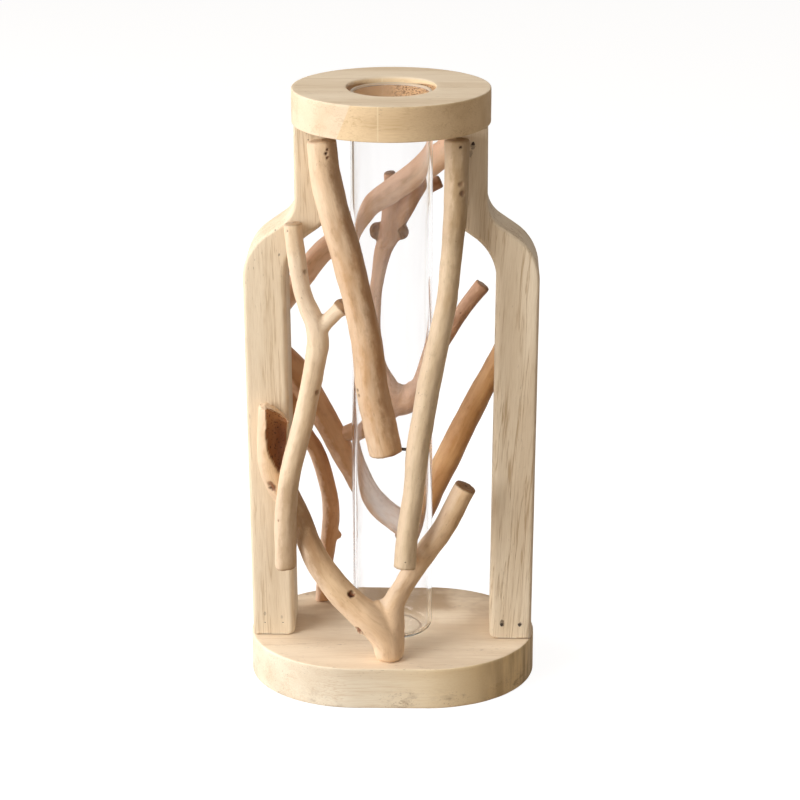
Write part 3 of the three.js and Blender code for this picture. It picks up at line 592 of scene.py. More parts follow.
def sawn_wood(name, turn, shift, side_tone, flat_tone, line_tone, pore_tone, lines, mark):
    """Pale sanded wood: broad tone, growth lines, fibre, pores, worn edges, a rough bore and marks of its own."""
    f = Finish(name)
    source = f.node("ShaderNodeTexCoord").outputs
    place = f.node("ShaderNodeMapping", {
        "Vector": source["Object"], "Location": shift, "Rotation": turn,
    }).outputs["Vector"]
    flat = f.step(f.math("ABSOLUTE", f.parts(source["Normal"])["Z"]), 0.6, 0.95)
    at = f.parts(source["Object"])
    broad = f.noise(place, 16, 150, 3.0)
    colour = f.blend(flat, side_tone, flat_tone)
    colour = f.blend(f.step(broad, 0.35, 0.7, 0.35), colour, line_tone)
    wander = f.noise(place, 2.4, 75, 4.0, 0.6, 0.3)
    ridge = f.math("ABSOLUTE", f.minus(wander, 0.5))
    streak = f.minus(1.0, f.step(ridge, 0.0, 0.05))
    patch = f.step(f.noise(place, 7, 50, 2.0), 0.42, 0.62, lines)
    growth = f.times(streak, patch)
    colour = f.blend(growth, colour, line_tone)
    fibre = f.noise(place, 0.45, 9, 3.0, 0.6)
    colour = f.blend(f.step(fibre, 0.35, 0.75, 0.22), colour, line_tone)
    pores = f.step(f.noise(place, 0.55, 3.8, 2.0), 0.64, 0.74)
    crowd = f.step(f.noise(place, 14, 60, 2.0), 0.45, 0.65, 0.6)
    pores = f.times(pores, crowd)
    colour = f.blend(pores, colour, pore_tone)
    edge = f.attribute("edge")
    chafed = f.times(edge, f.step(f.noise(place, 3, 9, 3.0), 0.35, 0.6, 0.5))
    colour = f.blend(chafed, colour, flat_tone)
    colour = mark(f, source, at, flat, colour)
    bore = f.attribute("bore")
    torn = f.step(f.noise(place, 0.6, 0.8, 3.0), 0.48, 0.6, 0.85)
    torn = f.times(torn, f.between(at["X"], *TORN_SIDE))
    colour = f.blend(f.times(bore, 0.75), colour, BORE_TONE)
    colour = f.blend(f.times(bore, torn), colour, pore_tone)
    height = f.minus(fibre, f.times(pores, 1.5))
    height = f.minus(height, f.times(growth, 0.5))
    f.set(
        Base_Color=colour,
        Roughness=f.plus(0.56, f.times(fibre, 0.25)),
        Normal=f.bump(height, 0.35, 0.22),
        Specular_IOR_Level=0.3,
    )
    return f.material


def painted_light_sides(f, grain, from_heart, mottle, colour, dark, lit_side_tone, lit, shaded):
    """Painted light on a limb: a painted highlight pales its left side, towards the lamps, and painted shade
    darkens its right side.
    """
    turned = f.math("DIVIDE", f.parts(grain)["X"], f.math("MAXIMUM", from_heart, 0.1 * MM))
    turned = f.plus(turned, f.minus(mottle, 0.5))
    colour = f.blend(f.step(turned, -0.1, -0.75, lit), colour, lit_side_tone)
    return f.blend(f.step(turned, 0.1, 0.8, shaded), colour, dark)


def sawn_end(f, grain, from_heart):
    """End grain: growth rings round a dark pith."""
    wobble = f.times(f.noise(grain, 3, 3, 3.0), 2.6)
    ring = f.plus(f.times(from_heart, 2 * math.pi / (RING_WIDTH * MM)), wobble)
    ring = f.step(f.math("SINE", ring), -0.3, 0.9, 0.6)
    colour = f.blend(ring, END_BROWN, END_DARK)
    return f.blend(f.between(from_heart, *PITH_FADE), colour, PIT_DARK)


def split_inside(f, place, at):
    """The inside of the split: darkest low down, a painted highlight on its left wall, and worm holes."""
    colour = f.blend(f.between(at["Z"], *SPLIT_PALING), HOLLOW_DARK, HOLLOW_LIGHT)
    # painted highlight: the split's left wall is lightened
    colour = f.blend(f.between(at["X"], *SPLIT_LIT_LEFT_WALL, 0.35), colour, HOLLOW_LIGHT)
    return f.blend(f.step(f.noise(place, 0.9, 1.2, 2.0), 0.6, 0.66, 0.8), colour, PIT_DARK)


def driftwood(name, shift, stretches, light, mid, dark, lit_side_tone, lit, shaded):
    """Peeled branch wood that follows the limb: a painted highlight on each limb's left side and painted shade on
    its right, stretches of another tone, some of them painted light or shade, mottling, fibre, flecks, pits, sawn
    ends and the split's inside.
    """
    f = Finish(name)
    grain = f.attribute("grain", "Vector")
    place = f.node("ShaderNodeMapping", {"Vector": grain, "Location": shift}).outputs["Vector"]
    colour = f.blend(f.step(f.noise(place, 8, 32, 3.0, 0.55), 0.32, 0.68), light, mid)
    at = f.parts(f.place())
    # stretches of another tone, some of them painted light or shade
    for axis, low, high, stretch_tone, share in stretches:
        begun = f.between(at[axis], low - STRETCH_FADE, low + STRETCH_FADE, share)
        ended = f.between(at[axis], high + STRETCH_FADE, high - STRETCH_FADE, share)
        colour = f.blend(f.math("MINIMUM", begun, ended), colour, stretch_tone)
    mottle = f.noise(place, 3.2, 6.5, 4.0, 0.62)
    colour = f.blend(f.step(mottle, 0.5, 0.78, 0.26), colour, dark)
    colour = f.blend(f.step(mottle, 0.5, 0.24, 0.3), colour, light)
    streak = f.noise(place, 1.1, 20, 4.0, 0.6, 0.4)
    colour = f.blend(f.step(streak, 0.54, 0.8, 0.24), colour, dark)
    section = first(f.tree, "ShaderNodeVectorMath", {0: grain, 1: (1.0, 1.0, 0.0)}, operation="MULTIPLY")
    from_heart = f.node("ShaderNodeVectorMath", {0: section}, operation="LENGTH").outputs["Value"]
    # painted highlight on the left side of each limb, painted shade on its right side
    colour = painted_light_sides(f, grain, from_heart, mottle, colour, dark, lit_side_tone, lit, shaded)
    fibre = f.noise(place, 0.4, 5, 3.0, 0.6)
    colour = f.blend(f.step(fibre, 0.45, 0.8, 0.16), colour, dark)
    fleck = f.step(f.noise(place, 0.7, 1.8, 2.0), 0.67, 0.74)
    fleck = f.times(fleck, f.step(f.noise(place, 9, 24, 2.0), 0.5, 0.64, 0.6))
    colour = f.blend(fleck, colour, dark)
    colour = f.blend(f.attribute("cut"), colour, sawn_end(f, grain, from_heart))
    pit_tone = f.blend(f.step(f.noise(place, 1.2, 6, 3.0), 0.35, 0.7), PIT_DARK, PIT_BROWN)
    colour = f.blend(f.attribute("pit"), colour, pit_tone)
    colour = f.blend(f.attribute("hollow"), colour, split_inside(f, place, at))
    height = f.plus(f.times(mottle, 1.6), f.times(streak, 0.7))
    height = f.plus(height, f.times(fibre, 0.4))
    height = f.minus(height, fleck)
    f.set(
        Base_Color=colour,
        Roughness=f.plus(0.46, f.times(fibre, 0.2)),
        Normal=f.bump(height, 0.3, 0.3),
        Specular_IOR_Level=0.25,
    )
    return f.material


def clear_glass():
    """Drawn glass with faint lengthwise draw lines, finger smears, a frosted ground rim tinted as a painted view
    of the wood behind it, and a painted shade band at its foot.
    """
    f = Finish("clear drawn glass")
    place = f.place()
    drawn = f.noise(place, 5, 160, 2.0)
    smear = f.step(f.noise(place, 14, 26, 3.0), 0.5, 0.8, 0.05)
    height = f.parts(place)["Z"]
    # painted shade: the glass is tinted darker over its lowest 5 mm, standing in for the contact shadow and dark
    # refraction at its foot
    foot = f.between(height, *GLASS_FOOT_FADE)
    # painted view through the glass: the frosted rim is tinted like the wood of the bore behind it
    rim = f.between(height, *GLASS_RIM_FADE)
    colour = f.blend(foot, GLASS_CLEAR, GLASS_FOOT_SHADE)
    f.set(
        Base_Color=f.blend(rim, colour, GLASS_RIM_WOOD_TINT),
        Roughness=f.plus(smear, f.times(rim, 0.35)),
        IOR=GLASS_INDEX,
        Transmission_Weight=f.minus(1.0, f.times(rim, RIM_FROST)),
        Normal=f.bump(drawn, 0.015, 0.25),
    )
    lamps = f.node("ShaderNodeLightPath").outputs["Is Shadow Ray"]
    clear = f.node("ShaderNodeBsdfTransparent").outputs["BSDF"]
    both = f.node("ShaderNodeMixShader", {0: lamps, 1: f.shader.outputs["BSDF"], 2: clear})
    f.tree.links.new(both.outputs["Shader"], f.output.inputs["Surface"])
    return f.material


def nail_steel():
    """Dull brads, darkened and a little rusty."""
    f = Finish("dull brad steel")
    place = f.place()
    rust = f.step(f.noise(place, 0.6, 0.6, 4.0), 0.45, 0.65)
    f.set(
        Base_Color=f.blend(rust, NAIL_GREY, NAIL_RUST),
        Metallic=f.minus(0.6, f.times(rust, 0.4)),
        Roughness=f.plus(0.38, f.times(rust, 0.35)),
        Normal=f.bump(f.noise(place, 0.35, 0.35, 3.0), 0.4, 0.08),
    )
    return f.material


# Meshes

def write_numbers(mesh, label, values):
    """Keeps one number or one vector for each point of a mesh as an attribute."""
    values = np.asarray(values, dtype=float)
    kind, field = ("FLOAT", "value") if values.ndim == 1 else ("FLOAT_VECTOR", "vector")
    mesh.attributes.new(label, kind, "POINT").data.foreach_set(field, values.ravel())


def read_points(mesh):
    """The points of a mesh as rows of an array, in metres."""
    points = np.empty(len(mesh.vertices) * 3)
    mesh.vertices.foreach_get("co", points)
    return points.reshape(-1, 3)


def arc_points(centre, radius, start, end, steps):
    """Points along an arc, from one turn in degrees to another."""
    turns = [math.radians(start + (end - start) * i / steps) for i in range(steps + 1)]
    return [(centre[0] + radius * math.cos(t), centre[1] + radius * math.sin(t)) for t in turns]


def quarter(centre, radius, start, steps):
    """A quarter of a circle."""
    return arc_points(centre, radius, start, start + 90, steps)


def even_line(start, end, steps):
    """Points after the start, up to the end, along a straight edge."""
    (x0, z0), (x1, z1) = start, end
    return [(x0 + (x1 - x0) * i / steps, z0 + (z1 - z0) * i / steps) for i in range(1, steps + 1)]


def plain_mesh(name, points, faces, attributes, material):
    """A smooth mesh from points in millimetres, with one number per point for each attribute."""
    mesh = bpy.data.meshes.new(name)
    mesh.from_pydata([Vector(p) * MM for p in points], [], faces)
    for label, values in attributes.items():
        write_numbers(mesh, label, values)
    work = bmesh.new()
    work.from_mesh(mesh)
    bmesh.ops.recalc_face_normals(work, faces=work.faces)
    work.to_mesh(mesh)
    work.free()
    mesh.shade_smooth()
    mesh.materials.append(material)
    return mesh


def place_piece(name, mesh, body, slot, *nodes):
    """Puts a finished mesh in the scene: what it rides on and the nodes it stands for; the slot is not used."""
    mesh.name = name
    piece = bpy.data.objects.new(name, mesh)
    bpy.context.scene.collection.objects.link(piece)
    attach(piece, body)
    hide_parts(*nodes)
    return piece


def hand_sanded(point, depth, size):
    """How far sanding by hand has eaten into the wood at a point."""
    return depth * (0.5 + 0.5 * noise.noise(Vector(point) / size))


def stack_rings(rings):
    """Faces between rings of equal length, closed by a cap at each end."""
    count = len(rings[0])
    faces = [list(range(count))]
    for level in range(len(rings) - 1):
        for j in range(count):
            k = (j + 1) % count
            low, high = level * count, (level + 1) * count
            faces.append((low + j, high + j, high + k, low + k))
    last = (len(rings) - 1) * count
    faces.append([last + j for j in reversed(range(count))])
    return faces


def edge_rings(depth, radius, steps, side_rings):
    """Rings over a board's thickness: (inset, depth, share of the rounded edge)."""
    rings = [(radius + FLAT_INSET, 0.0, 0.0)]
    turns = [math.radians(90 * i / steps) for i in range(steps + 1)]
    rings += [(radius * (1 - math.sin(t)), radius * (1 - math.cos(t)), math.sin(2 * t) ** 0.5) for t in turns[:-1]]
    rings.append((0.0, radius, 0.3))
    span = depth - 2 * radius
    rings += [(0.0, radius + span * i / side_rings, 0.0) for i in range(1, side_rings)]
    mirror = [(inset, depth - way, share) for inset, way, share in reversed(rings[: steps + 2])]
    return rings + mirror


def base_outline(inset):
    """The board's round-ended outline, seen from above."""
    radius = BASE_END_RADIUS - inset
    points = []
    for middle, start in ((BASE_HALF_STRAIGHT, -90), (-BASE_HALF_STRAIGHT, 90)):
        points += arc_points((middle, 0.0), radius, start, start + 180, BASE_END_STEPS)
        along = [BASE_HALF_STRAIGHT * (1 - 2 * i / BASE_SIDE_STEPS) for i in range(1, BASE_SIDE_STEPS)]
        side = 1 if middle > 0 else -1
        points += [(side * x, side * radius) for x in along]
    return points


def make_base_board(material):
    """A board with round ends, rounded edges and a sanded rim."""
    rings, edge = [], []
    for inset, depth, share in edge_rings(BASE_THICKNESS, BASE_EDGE, BASE_EDGE_STEPS, BASE_RIM_RINGS):
        z = BASE_THICKNESS - depth
        ring = []
        for (x, y), (fx, fy) in zip(base_outline(inset), base_outline(0)):
            point = (fx, fy, z)
            wear = hand_sanded(point, *BASE_SANDING) + share * hand_sanded(point, *BASE_EDGE_SANDING) ** 2
            away = math.hypot(x, y)
            ring.append((x * (1 - wear / away), y * (1 - wear / away), z))
        rings.append(ring)
        edge += [share] * len(ring)
    mesh = plain_mesh("base_board", sum(rings, []), stack_rings(rings), {"edge": edge}, material)
    return place_piece("base_board_wood", mesh, "frame", "pale_wood", "base_board")


def post_edge(foot, bulge, hollow, neck):
    """One edge of the right post from its foot up: leg, shoulder, slope and neck."""
    shoulder = arc_points(bulge, SHOULDER_RADIUS, 0, SHOULDER_TURN, SHOULDER_STEPS)
    throat = arc_points(hollow, NECK_RADIUS, 180 + SHOULDER_TURN, 180, THROAT_STEPS)
    points = [foot] + [(foot[0], foot[1] + lift) for lift in FOOT_STEPS]
    points += even_line(points[-1], shoulder[0], LEG_STEPS) + shoulder[1:]
    points += even_line(shoulder[-1], throat[0], SLOPE_STEPS) + throat[1:]
    return points + even_line(throat[-1], (neck, DISC_UNDERSIDE), NECK_STEPS)


def post_section(width, slant):
    """Points round a post's section: (way across, depth, share of the rounded edge)."""
    inner, outer = INNER_EDGE * slant, OUTER_EDGE * slant
    corners = (
        (width - outer, OUTER_EDGE, outer, OUTER_EDGE, -90),
        (width - outer, POST_DEPTH - OUTER_EDGE, outer, OUTER_EDGE, 0),
        (inner, POST_DEPTH - INNER_EDGE, inner, INNER_EDGE, 90),
        (inner, INNER_EDGE, inner, INNER_EDGE, 180),
    )
    arcs = []
    for across, deep, wide, high, start in corners:
        quarter_turn = arc_points((0.0, 0.0), 1.0, start, start + 90, len(CORNER_WEAR) - 1)
        arcs.append([
            (across + wide * x, deep + high * y, share) for (x, y), share in zip(quarter_turn, CORNER_WEAR)
        ])
    rows = []
    for arc, following in zip(arcs, arcs[1:] + arcs[:1]):
        (a0, d0, _), (a1, d1, _) = arc[-1], following[0]
        flat = [(a0 + (a1 - a0) * t, d0 + (d1 - d0) * t, 0.0) for t in FACE_STEPS]
        rows += arc + flat
    return rows


def foot_corner(lift):
    """How far the inner edge of a post is rounded off this far above its foot."""
    share = max(0.0, 1 - lift / FOOT_CORNER)
    return FOOT_CORNER * (1 - math.sqrt(1 - share**2))


def make_post(name, material):
    """A post: rings of its section from the foot up, sanded, with a cap at each end."""
    outer = post_edge(*POST_OUTER_EDGE)
    inner = [(x + foot_corner(z - BASE_THICKNESS), z) for x, z in post_edge(*POST_INNER_EDGE)]
    side, front = POST_SIDE[name], POST_FRONT[name]
    rings, worn = [], []
    last = len(outer) - 1
    for i, (o, n) in enumerate(zip(outer, inner)):
        across = Vector(o) - Vector(n)
        along = Vector(outer[min(i + 1, last)]) - Vector(outer[max(i - 1, 0)])
        thick = abs(across.cross(along)) / along.length
        width = across.length
        rows = post_section(width, width / thick)
        ring = []
        for a, depth, share in rows:
            x, z = Vector(n) + across * (a / width)
            p = Vector((side * x, front + depth, z))
            middle = Vector((side * (n[0] + o[0]) / 2, front + POST_DEPTH / 2, z))
            wear = hand_sanded(p, *POST_SANDING) + share * hand_sanded(p, *POST_EDGE_SANDING)
            ring.append(p + (middle - p).normalized() * wear)
        rings.append(ring)
        worn += [share for _, _, share in rows]
    for end, inwards in ((0, END_CAP_STEP), (-1, -END_CAP_STEP)):
        middle = sum(rings[end], Vector()) / len(rings[end])
        cap = [middle + (p - middle) * END_CAP_SHARE for p in rings[end]]
        rings[end] = [p + Vector((0, 0, inwards)) for p in rings[end]]
        rings.insert(len(rings) if end else 0, cap)
    cap_wear = [END_CAP_WEAR] * len(rings[0])
    worn = cap_wear + worn + cap_wear
    mesh = plain_mesh(name, sum(rings, []), stack_rings(rings), {"edge": worn}, material)
    return place_piece(name + "_wood", mesh, "frame", "pale_wood", name)


def lathe(name, profile, segments, attributes, material, closed):
    """Turns a profile (radius, z) about the Z axis; a point on the axis becomes a pole."""
    points, faces, rows = [], [], []
    values = {label: [] for label in attributes}
    for i, (radius, z) in enumerate(profile):
        turns = [2 * math.pi * j / segments for j in range(segments)] if radius > 0 else [0.0]
        rows.append(range(len(points), len(points) + len(turns)))
        points += [(radius * math.cos(t), radius * math.sin(t), z) for t in turns]
        for label, numbers in attributes.items():
            values[label] += [numbers[i]] * len(turns)
    pairs = list(zip(rows, rows[1:]))
    if closed:
        pairs.append((rows[-1], rows[0]))
    for low, high in pairs:
        for j in range(segments):
            k = (j + 1) % segments
            corners = [low[j % len(low)], low[k % len(low)], high[k % len(high)], high[j % len(high)]]
            faces.append(list(dict.fromkeys(corners)))
    return plain_mesh(name, points, faces, values, material)


def make_top_disc(material):
    """A disc with a hole whose upper edge is rounded off deeper at its front and back."""
    e = DISC_EDGE
    outer, inner, low, high = DISC_RADIUS, HOLE_RADIUS, DISC_UNDERSIDE, DISC_TOP
    sides = [low + e + (high - low - 2 * e) * i / DISC_SIDE_STEPS for i in range(1, DISC_SIDE_STEPS)]
    profile, edge, bore = [], [], []

    def lay(points, worn, inside):
        profile.extend(points)
        edge.extend([worn] * len(points))
        bore.extend([inside] * len(points))

    lay([(inner + DISC_UNDER_RING, low), (outer - e - FLAT_INSET, low)], 0, 0)
    lay(quarter((outer - e, low + e), e, -90, DISC_EDGE_STEPS), 1, 0)
    lay([(outer, z) for z in sides], 0, 0)
    lay(quarter((outer - e, high - e), e, 0, DISC_EDGE_STEPS), 1, 0)
    lay([(outer - e - FLAT_INSET, high), (outer - DISC_TOP_RING, high), (inner + HOLE_EDGE_FRONT + 1, high)], 0, 0)
    lip = range(len(profile), len(profile) + HOLE_EDGE_STEPS + 1)
    lay(quarter((inner + e, high - e), e, 90, HOLE_EDGE_STEPS), HOLE_EDGE_WEAR, 0)
    lay([(inner, z) for z in reversed(sides)], 0, 1)
    lay(quarter((inner + e, low + e), e, 180, DISC_EDGE_STEPS), 1, 0)
    lay([(inner + e + FLAT_INSET, low)], 0, 0)
    mesh = lathe("top_disc", profile, DISC_SEGMENTS, {"edge": edge, "bore": bore}, material, True)
    eaten = read_points(mesh)
    for i, p in enumerate(eaten):
        away = math.hypot(p[0], p[1])
        row = i // DISC_SEGMENTS
        wear = hand_sanded(p / MM, *DISC_SANDING) * MM
        if bore[row]:
            wear = -hand_sanded(p / MM, *BORE_TEARING) * MM
        hollow = HOLE_EDGE_SIDE + (HOLE_EDGE_FRONT - HOLE_EDGE_SIDE) * (p[1] / away) ** 2
        if row in lip:
            turn = math.radians(90 * (row - lip[0]) / HOLE_EDGE_STEPS)
            p[2] = (high - hollow * (1 - math.cos(turn))) * MM
            wear = away - (inner + hollow * (1 - math.sin(turn))) * MM
        elif bore[row]:
            p[2] = min(p[2], (high - hollow) * MM)
        p[:2] *= 1 - wear / away
    mesh.vertices.foreach_set("co", eaten.ravel())
    mesh.update()
    return place_piece("top_disc_wood", mesh, "frame", "pale_wood", "top_disc")


def make_glass_tube(material):
    """A tube with a rounded heel, a slightly crowned floor and a rounded rim."""
    inner = TUBE_RADIUS - TUBE_WALL
    floor = TUBE_FOOT + TUBE_FLOOR
    heel = TUBE_HEEL - TUBE_WALL
    half = TUBE_WALL / 2
    (under, under_top), (over, over_top) = TUBE_UNDER_CROWN, TUBE_FLOOR_CROWN
    profile = [(0, TUBE_FOOT + under_top), (TUBE_CROWN_RADIUS, TUBE_FOOT + under)]
    profile.append((TUBE_RADIUS - TUBE_HEEL - FLAT_INSET, TUBE_FOOT))
    profile += quarter((TUBE_RADIUS - TUBE_HEEL, TUBE_FOOT + TUBE_HEEL), TUBE_HEEL, -90, TUBE_HEEL_STEPS)
    start, span = TUBE_FOOT + TUBE_HEEL, TUBE_RIM - half - TUBE_FOOT - TUBE_HEEL
    walls = [start + span * i / TUBE_WALL_STEPS for i in range(1, TUBE_WALL_STEPS)]
    profile += [(TUBE_RADIUS, z) for z in walls]
    profile += arc_points((TUBE_RADIUS - half, TUBE_RIM - half), half, 0, 180, TUBE_RIM_STEPS)
    profile += [(inner, z) for z in reversed(walls) if z > floor + heel + 1]
    profile += reversed(quarter((inner - heel, floor + heel), heel, -90, TUBE_HEEL_STEPS))
    profile.append((inner - heel - FLAT_INSET, floor))
    profile += [(TUBE_CROWN_RADIUS, floor + over), (0, floor + over_top)]
    mesh = lathe("glass_tube", profile, TUBE_SEGMENTS, {}, material, False)
    return place_piece("glass_tube_glass", mesh, "tube", "clear_glass", "glass_tube")


# Branches

def new_shape_tree(name, inputs):
    """An empty node tree with named inputs; gives back the tree and its input node."""
    tree = bpy.data.node_groups.new(name, "GeometryNodeTree")
    tree.interface.new_socket("Geometry", in_out="OUTPUT", socket_type="NodeSocketGeometry")
    tree.interface.new_socket("Geometry", in_out="INPUT", socket_type="NodeSocketGeometry")
    for label, kind in inputs:
        tree.interface.new_socket(label, in_out="INPUT", socket_type=kind)
    return tree, tree.nodes.new("NodeGroupInput").outputs


def end_shape_tree(tree, geometry, finish):
    """Ends a tree in a plain mesh with its finish."""
    plain = first(tree, "GeometryNodeRealizeInstances", {"Geometry": geometry})
    coated = first(tree, "GeometryNodeSetMaterial", {"Geometry": plain, "Material": finish})
    add_node(tree, "NodeGroupOutput", {"Geometry": coated})
    return tree


def named(tree, label, kind):
    """An attribute of the geometry, by its name."""
    return add_node(tree, "GeometryNodeInputNamedAttribute", {"Name": label}, data_type=kind).outputs["Attribute"]


def joined(tree, *shapes):
    """Several shapes as one."""
    node = add_node(tree, "GeometryNodeJoinGeometry")
    for shape in shapes:
        tree.links.new(shape, node.inputs[0])
    return node.outputs[0]


def limb_tree():
    """Sweeps each row of stations into a limb and sets a ball on each knob."""
    tree, given = new_shape_tree("limb sweep", [
        ("Step", "NodeSocketFloat"), ("Facets", "NodeSocketInt"), ("Finish", "NodeSocketMaterial"),
    ])
    path = first(tree, "GeometryNodeMeshToCurve", {"Mesh": given["Geometry"]})
    path = first(tree, "GeometryNodeCurveSplineType", {"Curve": path}, spline_type="CATMULL_ROM")
    path = first(tree, "GeometryNodeResampleCurve", {"Curve": path, "Length": given["Step"]}, mode="LENGTH")
    ring = first(
        tree, "GeometryNodeCurvePrimitiveCircle", {"Resolution": given["Facets"], "Radius": 1.0}, mode="RADIUS"
    )
    swept = first(tree, "GeometryNodeCurveToMesh", {
        "Curve": path, "Profile Curve": ring, "Scale": named(tree, "half", "FLOAT"), "Fill Caps": True,
    })
    knob = named(tree, "knob", "FLOAT")
    is_knob = first(tree, "FunctionNodeCompare", {0: knob, 1: 0.0}, data_type="FLOAT", operation="GREATER_THAN")
    ball = first(tree, "GeometryNodeMeshIcoSphere", {"Radius": 1.0, "Subdivisions": 4})
    knobs = first(tree, "GeometryNodeInstanceOnPoints", {
        "Points": given["Geometry"], "Selection": is_knob, "Instance": ball, "Scale": knob,
    })
    return end_shape_tree(tree, joined(tree, swept, knobs), given["Finish"])


def surface_tree():
    """Rounds the crotches of a limb, then adds lumps, ridges along the grain and sunk places."""
    tree, given = new_shape_tree("limb surface", [
        ("Smoothing", "NodeSocketInt"), ("Lump Height", "NodeSocketFloat"), ("Ridge Height", "NodeSocketFloat"),
        ("Finish", "NodeSocketMaterial"),
    ])
    place = first(tree, "GeometryNodeInputPosition")
    soft = first(tree, "GeometryNodeBlurAttribute", {
        "Value": place, "Iterations": given["Smoothing"],
    }, data_type="FLOAT_VECTOR")
    body = first(tree, "GeometryNodeSetPosition", {"Geometry": given["Geometry"], "Position": soft})
    grain = named(tree, "grain", "FLOAT_VECTOR")
    for height, size in (("Lump Height", LUMP_SIZE), ("Ridge Height", RIDGE_SIZE)):
        scaled = first(tree, "ShaderNodeVectorMath", {0: grain, 1: fibre_scale(*size)}, operation="MULTIPLY")
        wave = add_node(tree, "ShaderNodeTexNoise", {"Vector": scaled, "Scale": 1.0, "Detail": 2.0}).outputs["Fac"]
        lift = first(tree, "ShaderNodeMath", {0: wave, 1: 0.5}, operation="SUBTRACT")
        for factor in (given[height], WAVE_GAIN):
            lift = first(tree, "ShaderNodeMath", {0: lift, 1: factor}, operation="MULTIPLY")
        normal = first(tree, "GeometryNodeInputNormal")
        offset = first(tree, "ShaderNodeVectorMath", {0: normal, "Scale": lift}, operation="SCALE")
        body = first(tree, "GeometryNodeSetPosition", {"Geometry": body, "Offset": offset})
    sink = named(tree, "sink", "FLOAT_VECTOR")
    body = first(tree, "GeometryNodeSetPosition", {"Geometry": body, "Offset": sink})
    body = first(tree, "GeometryNodeSetShadeSmooth", {"Geometry": body})
    return end_shape_tree(tree, body, given["Finish"])


def shaped(mesh, tree, values, voxel=None):
    """Runs a node tree on a mesh, then a remesh where a voxel is given; gives back the plain mesh."""
    holder = bpy.data.objects.new("shaping", mesh)
    bpy.context.scene.collection.objects.link(holder)
    modifier = holder.modifiers.new("shape", "NODES")
    modifier.node_group = tree
    for item in tree.interface.items_tree:
        if item.in_out == "INPUT" and item.name in values:
            modifier[item.identifier] = values[item.name]
    if voxel:
        skin = holder.modifiers.new("skin", "REMESH")
        skin.mode = "VOXEL"
        skin.voxel_size = voxel
    depsgraph = bpy.context.evaluated_depsgraph_get()
    made = bpy.data.meshes.new_from_object(
        holder.evaluated_get(depsgraph), preserve_all_data_layers=True, depsgraph=depsgraph
    )
    bpy.data.objects.remove(holder)
    return made


def station_mesh(name):
    """The stations of a branch as a mesh of edges, with half thickness and knob size on its points."""
    points, edges, half = [], [], []
    for limb in BRANCH_LIMBS[name]:
        start = len(points)
        points += [Vector(s[:3]) * MM for s in limb]
        half += [s[3] / 2 * MM for s in limb]
        edges += [(start + i, start + i + 1) for i in range(len(limb) - 1)]
    knob = [0.0] * len(points)
    for x, y, z, radius in BRANCH_KNOBS.get(name, []):
        points.append(Vector((x, y, z)) * MM)
        half.append(0.0)
        knob.append(radius * MM)
    mesh = bpy.data.meshes.new(name + " stations")
    mesh.from_pydata(points, edges, [])
    write_numbers(mesh, "half", half)
    write_numbers(mesh, "knob", knob)
    return mesh


class LimbLine:
    """The middle line of a limb: points, radius, run, and the directions along, front and side."""

    def __init__(self, limb):
        stations = np.array(limb, dtype=float)
        padded = np.vstack([stations[:1], stations, stations[-1:]])
        share = np.linspace(0, 1, LINE_STEPS, endpoint=False)[:, None]
        rows = []
        for a, b, c, d in zip(padded, padded[1:], padded[2:], padded[3:]):
            curve = 2 * b + (c - a) * share + (2 * a - 5 * b + 4 * c - d) * share**2
            rows.append((curve + (3 * b - a - 3 * c + d) * share**3) / 2)
        rows = np.vstack(rows + [stations[-1:]])
        self.points = rows[:, :3]
        self.radius = rows[:, 3] / 2
        self.along = np.gradient(self.points, axis=0)
        self.along /= np.linalg.norm(self.along, axis=1)[:, None]
        steps = np.linalg.norm(np.diff(self.points, axis=0), axis=1)
        self.run = np.concatenate([[0.0], np.cumsum(steps)])
        front = np.array([0.0, -1.0, 0.0]) + self.along * self.along[:, 1:2]
        self.front = front / np.linalg.norm(front, axis=1)[:, None]
        side = np.cross(self.front, self.along)
        self.side = side * np.sign(side[:, :1] + 1e-9)

    def nearest(self, points, batch=4000):
        """For each point, which point of the line lies nearest; in batches, to spare memory."""
        found = np.empty(len(points), dtype=int)
        for start in range(0, len(points), batch):
            gap = points[start:start + batch, None, :] - self.points[None]
            found[start:start + batch] = np.argmin(np.einsum("ijk,ijk->ij", gap, gap), axis=1)
        return found

    def spot(self, run, turn):
        """A point on the limb's skin and the way out of the wood there."""
        i = int(np.argmin(abs(self.run - run)))
        t = math.radians(turn)
        out = self.front[i] * math.cos(t) + self.side[i] * math.sin(t)
        return self.points[i] + out * self.radius[i], out


def soft_step(value, low, high):
    """Rises softly from 0 to 1 as the values go from low to high."""
    t = np.clip((value - low) / (high - low), 0, 1)
    return t * t * (3 - 2 * t)


def rough_at(places):
    """Noise at each of many places, given in steps of its size."""
    return np.array([noise.noise(Vector(p)) for p in places])


def grain_of(points, lines):
    """Places on the grain of a branch: across, across and along, blended where limbs meet."""
    total = np.zeros((len(points), 3))
    weights = np.zeros(len(points))
    gaps, grains = [], []
    for line in lines:
        i = line.nearest(points)
        off = points - line.points[i]
        start = 0.0 if not grains else lines[0].run[lines[0].nearest(line.points[:1])[0]]
        run = line.run[i] + start + np.einsum("ij,ij->i", off, line.along[i])
        across = np.einsum("ij,ij->i", off, line.side[i])
        depth = np.einsum("ij,ij->i", off, line.front[i])
        gaps.append(np.linalg.norm(off, axis=1) - line.radius[i])
        grains.append(np.stack([across, depth, run], axis=1))
    least = np.min(gaps, axis=0)
    for gap, grain in zip(gaps, grains):
        weight = np.exp(-(gap - least) / CROTCH_BLEND)
        total += grain * weight[:, None]
        weights += weight
    return total / weights[:, None]


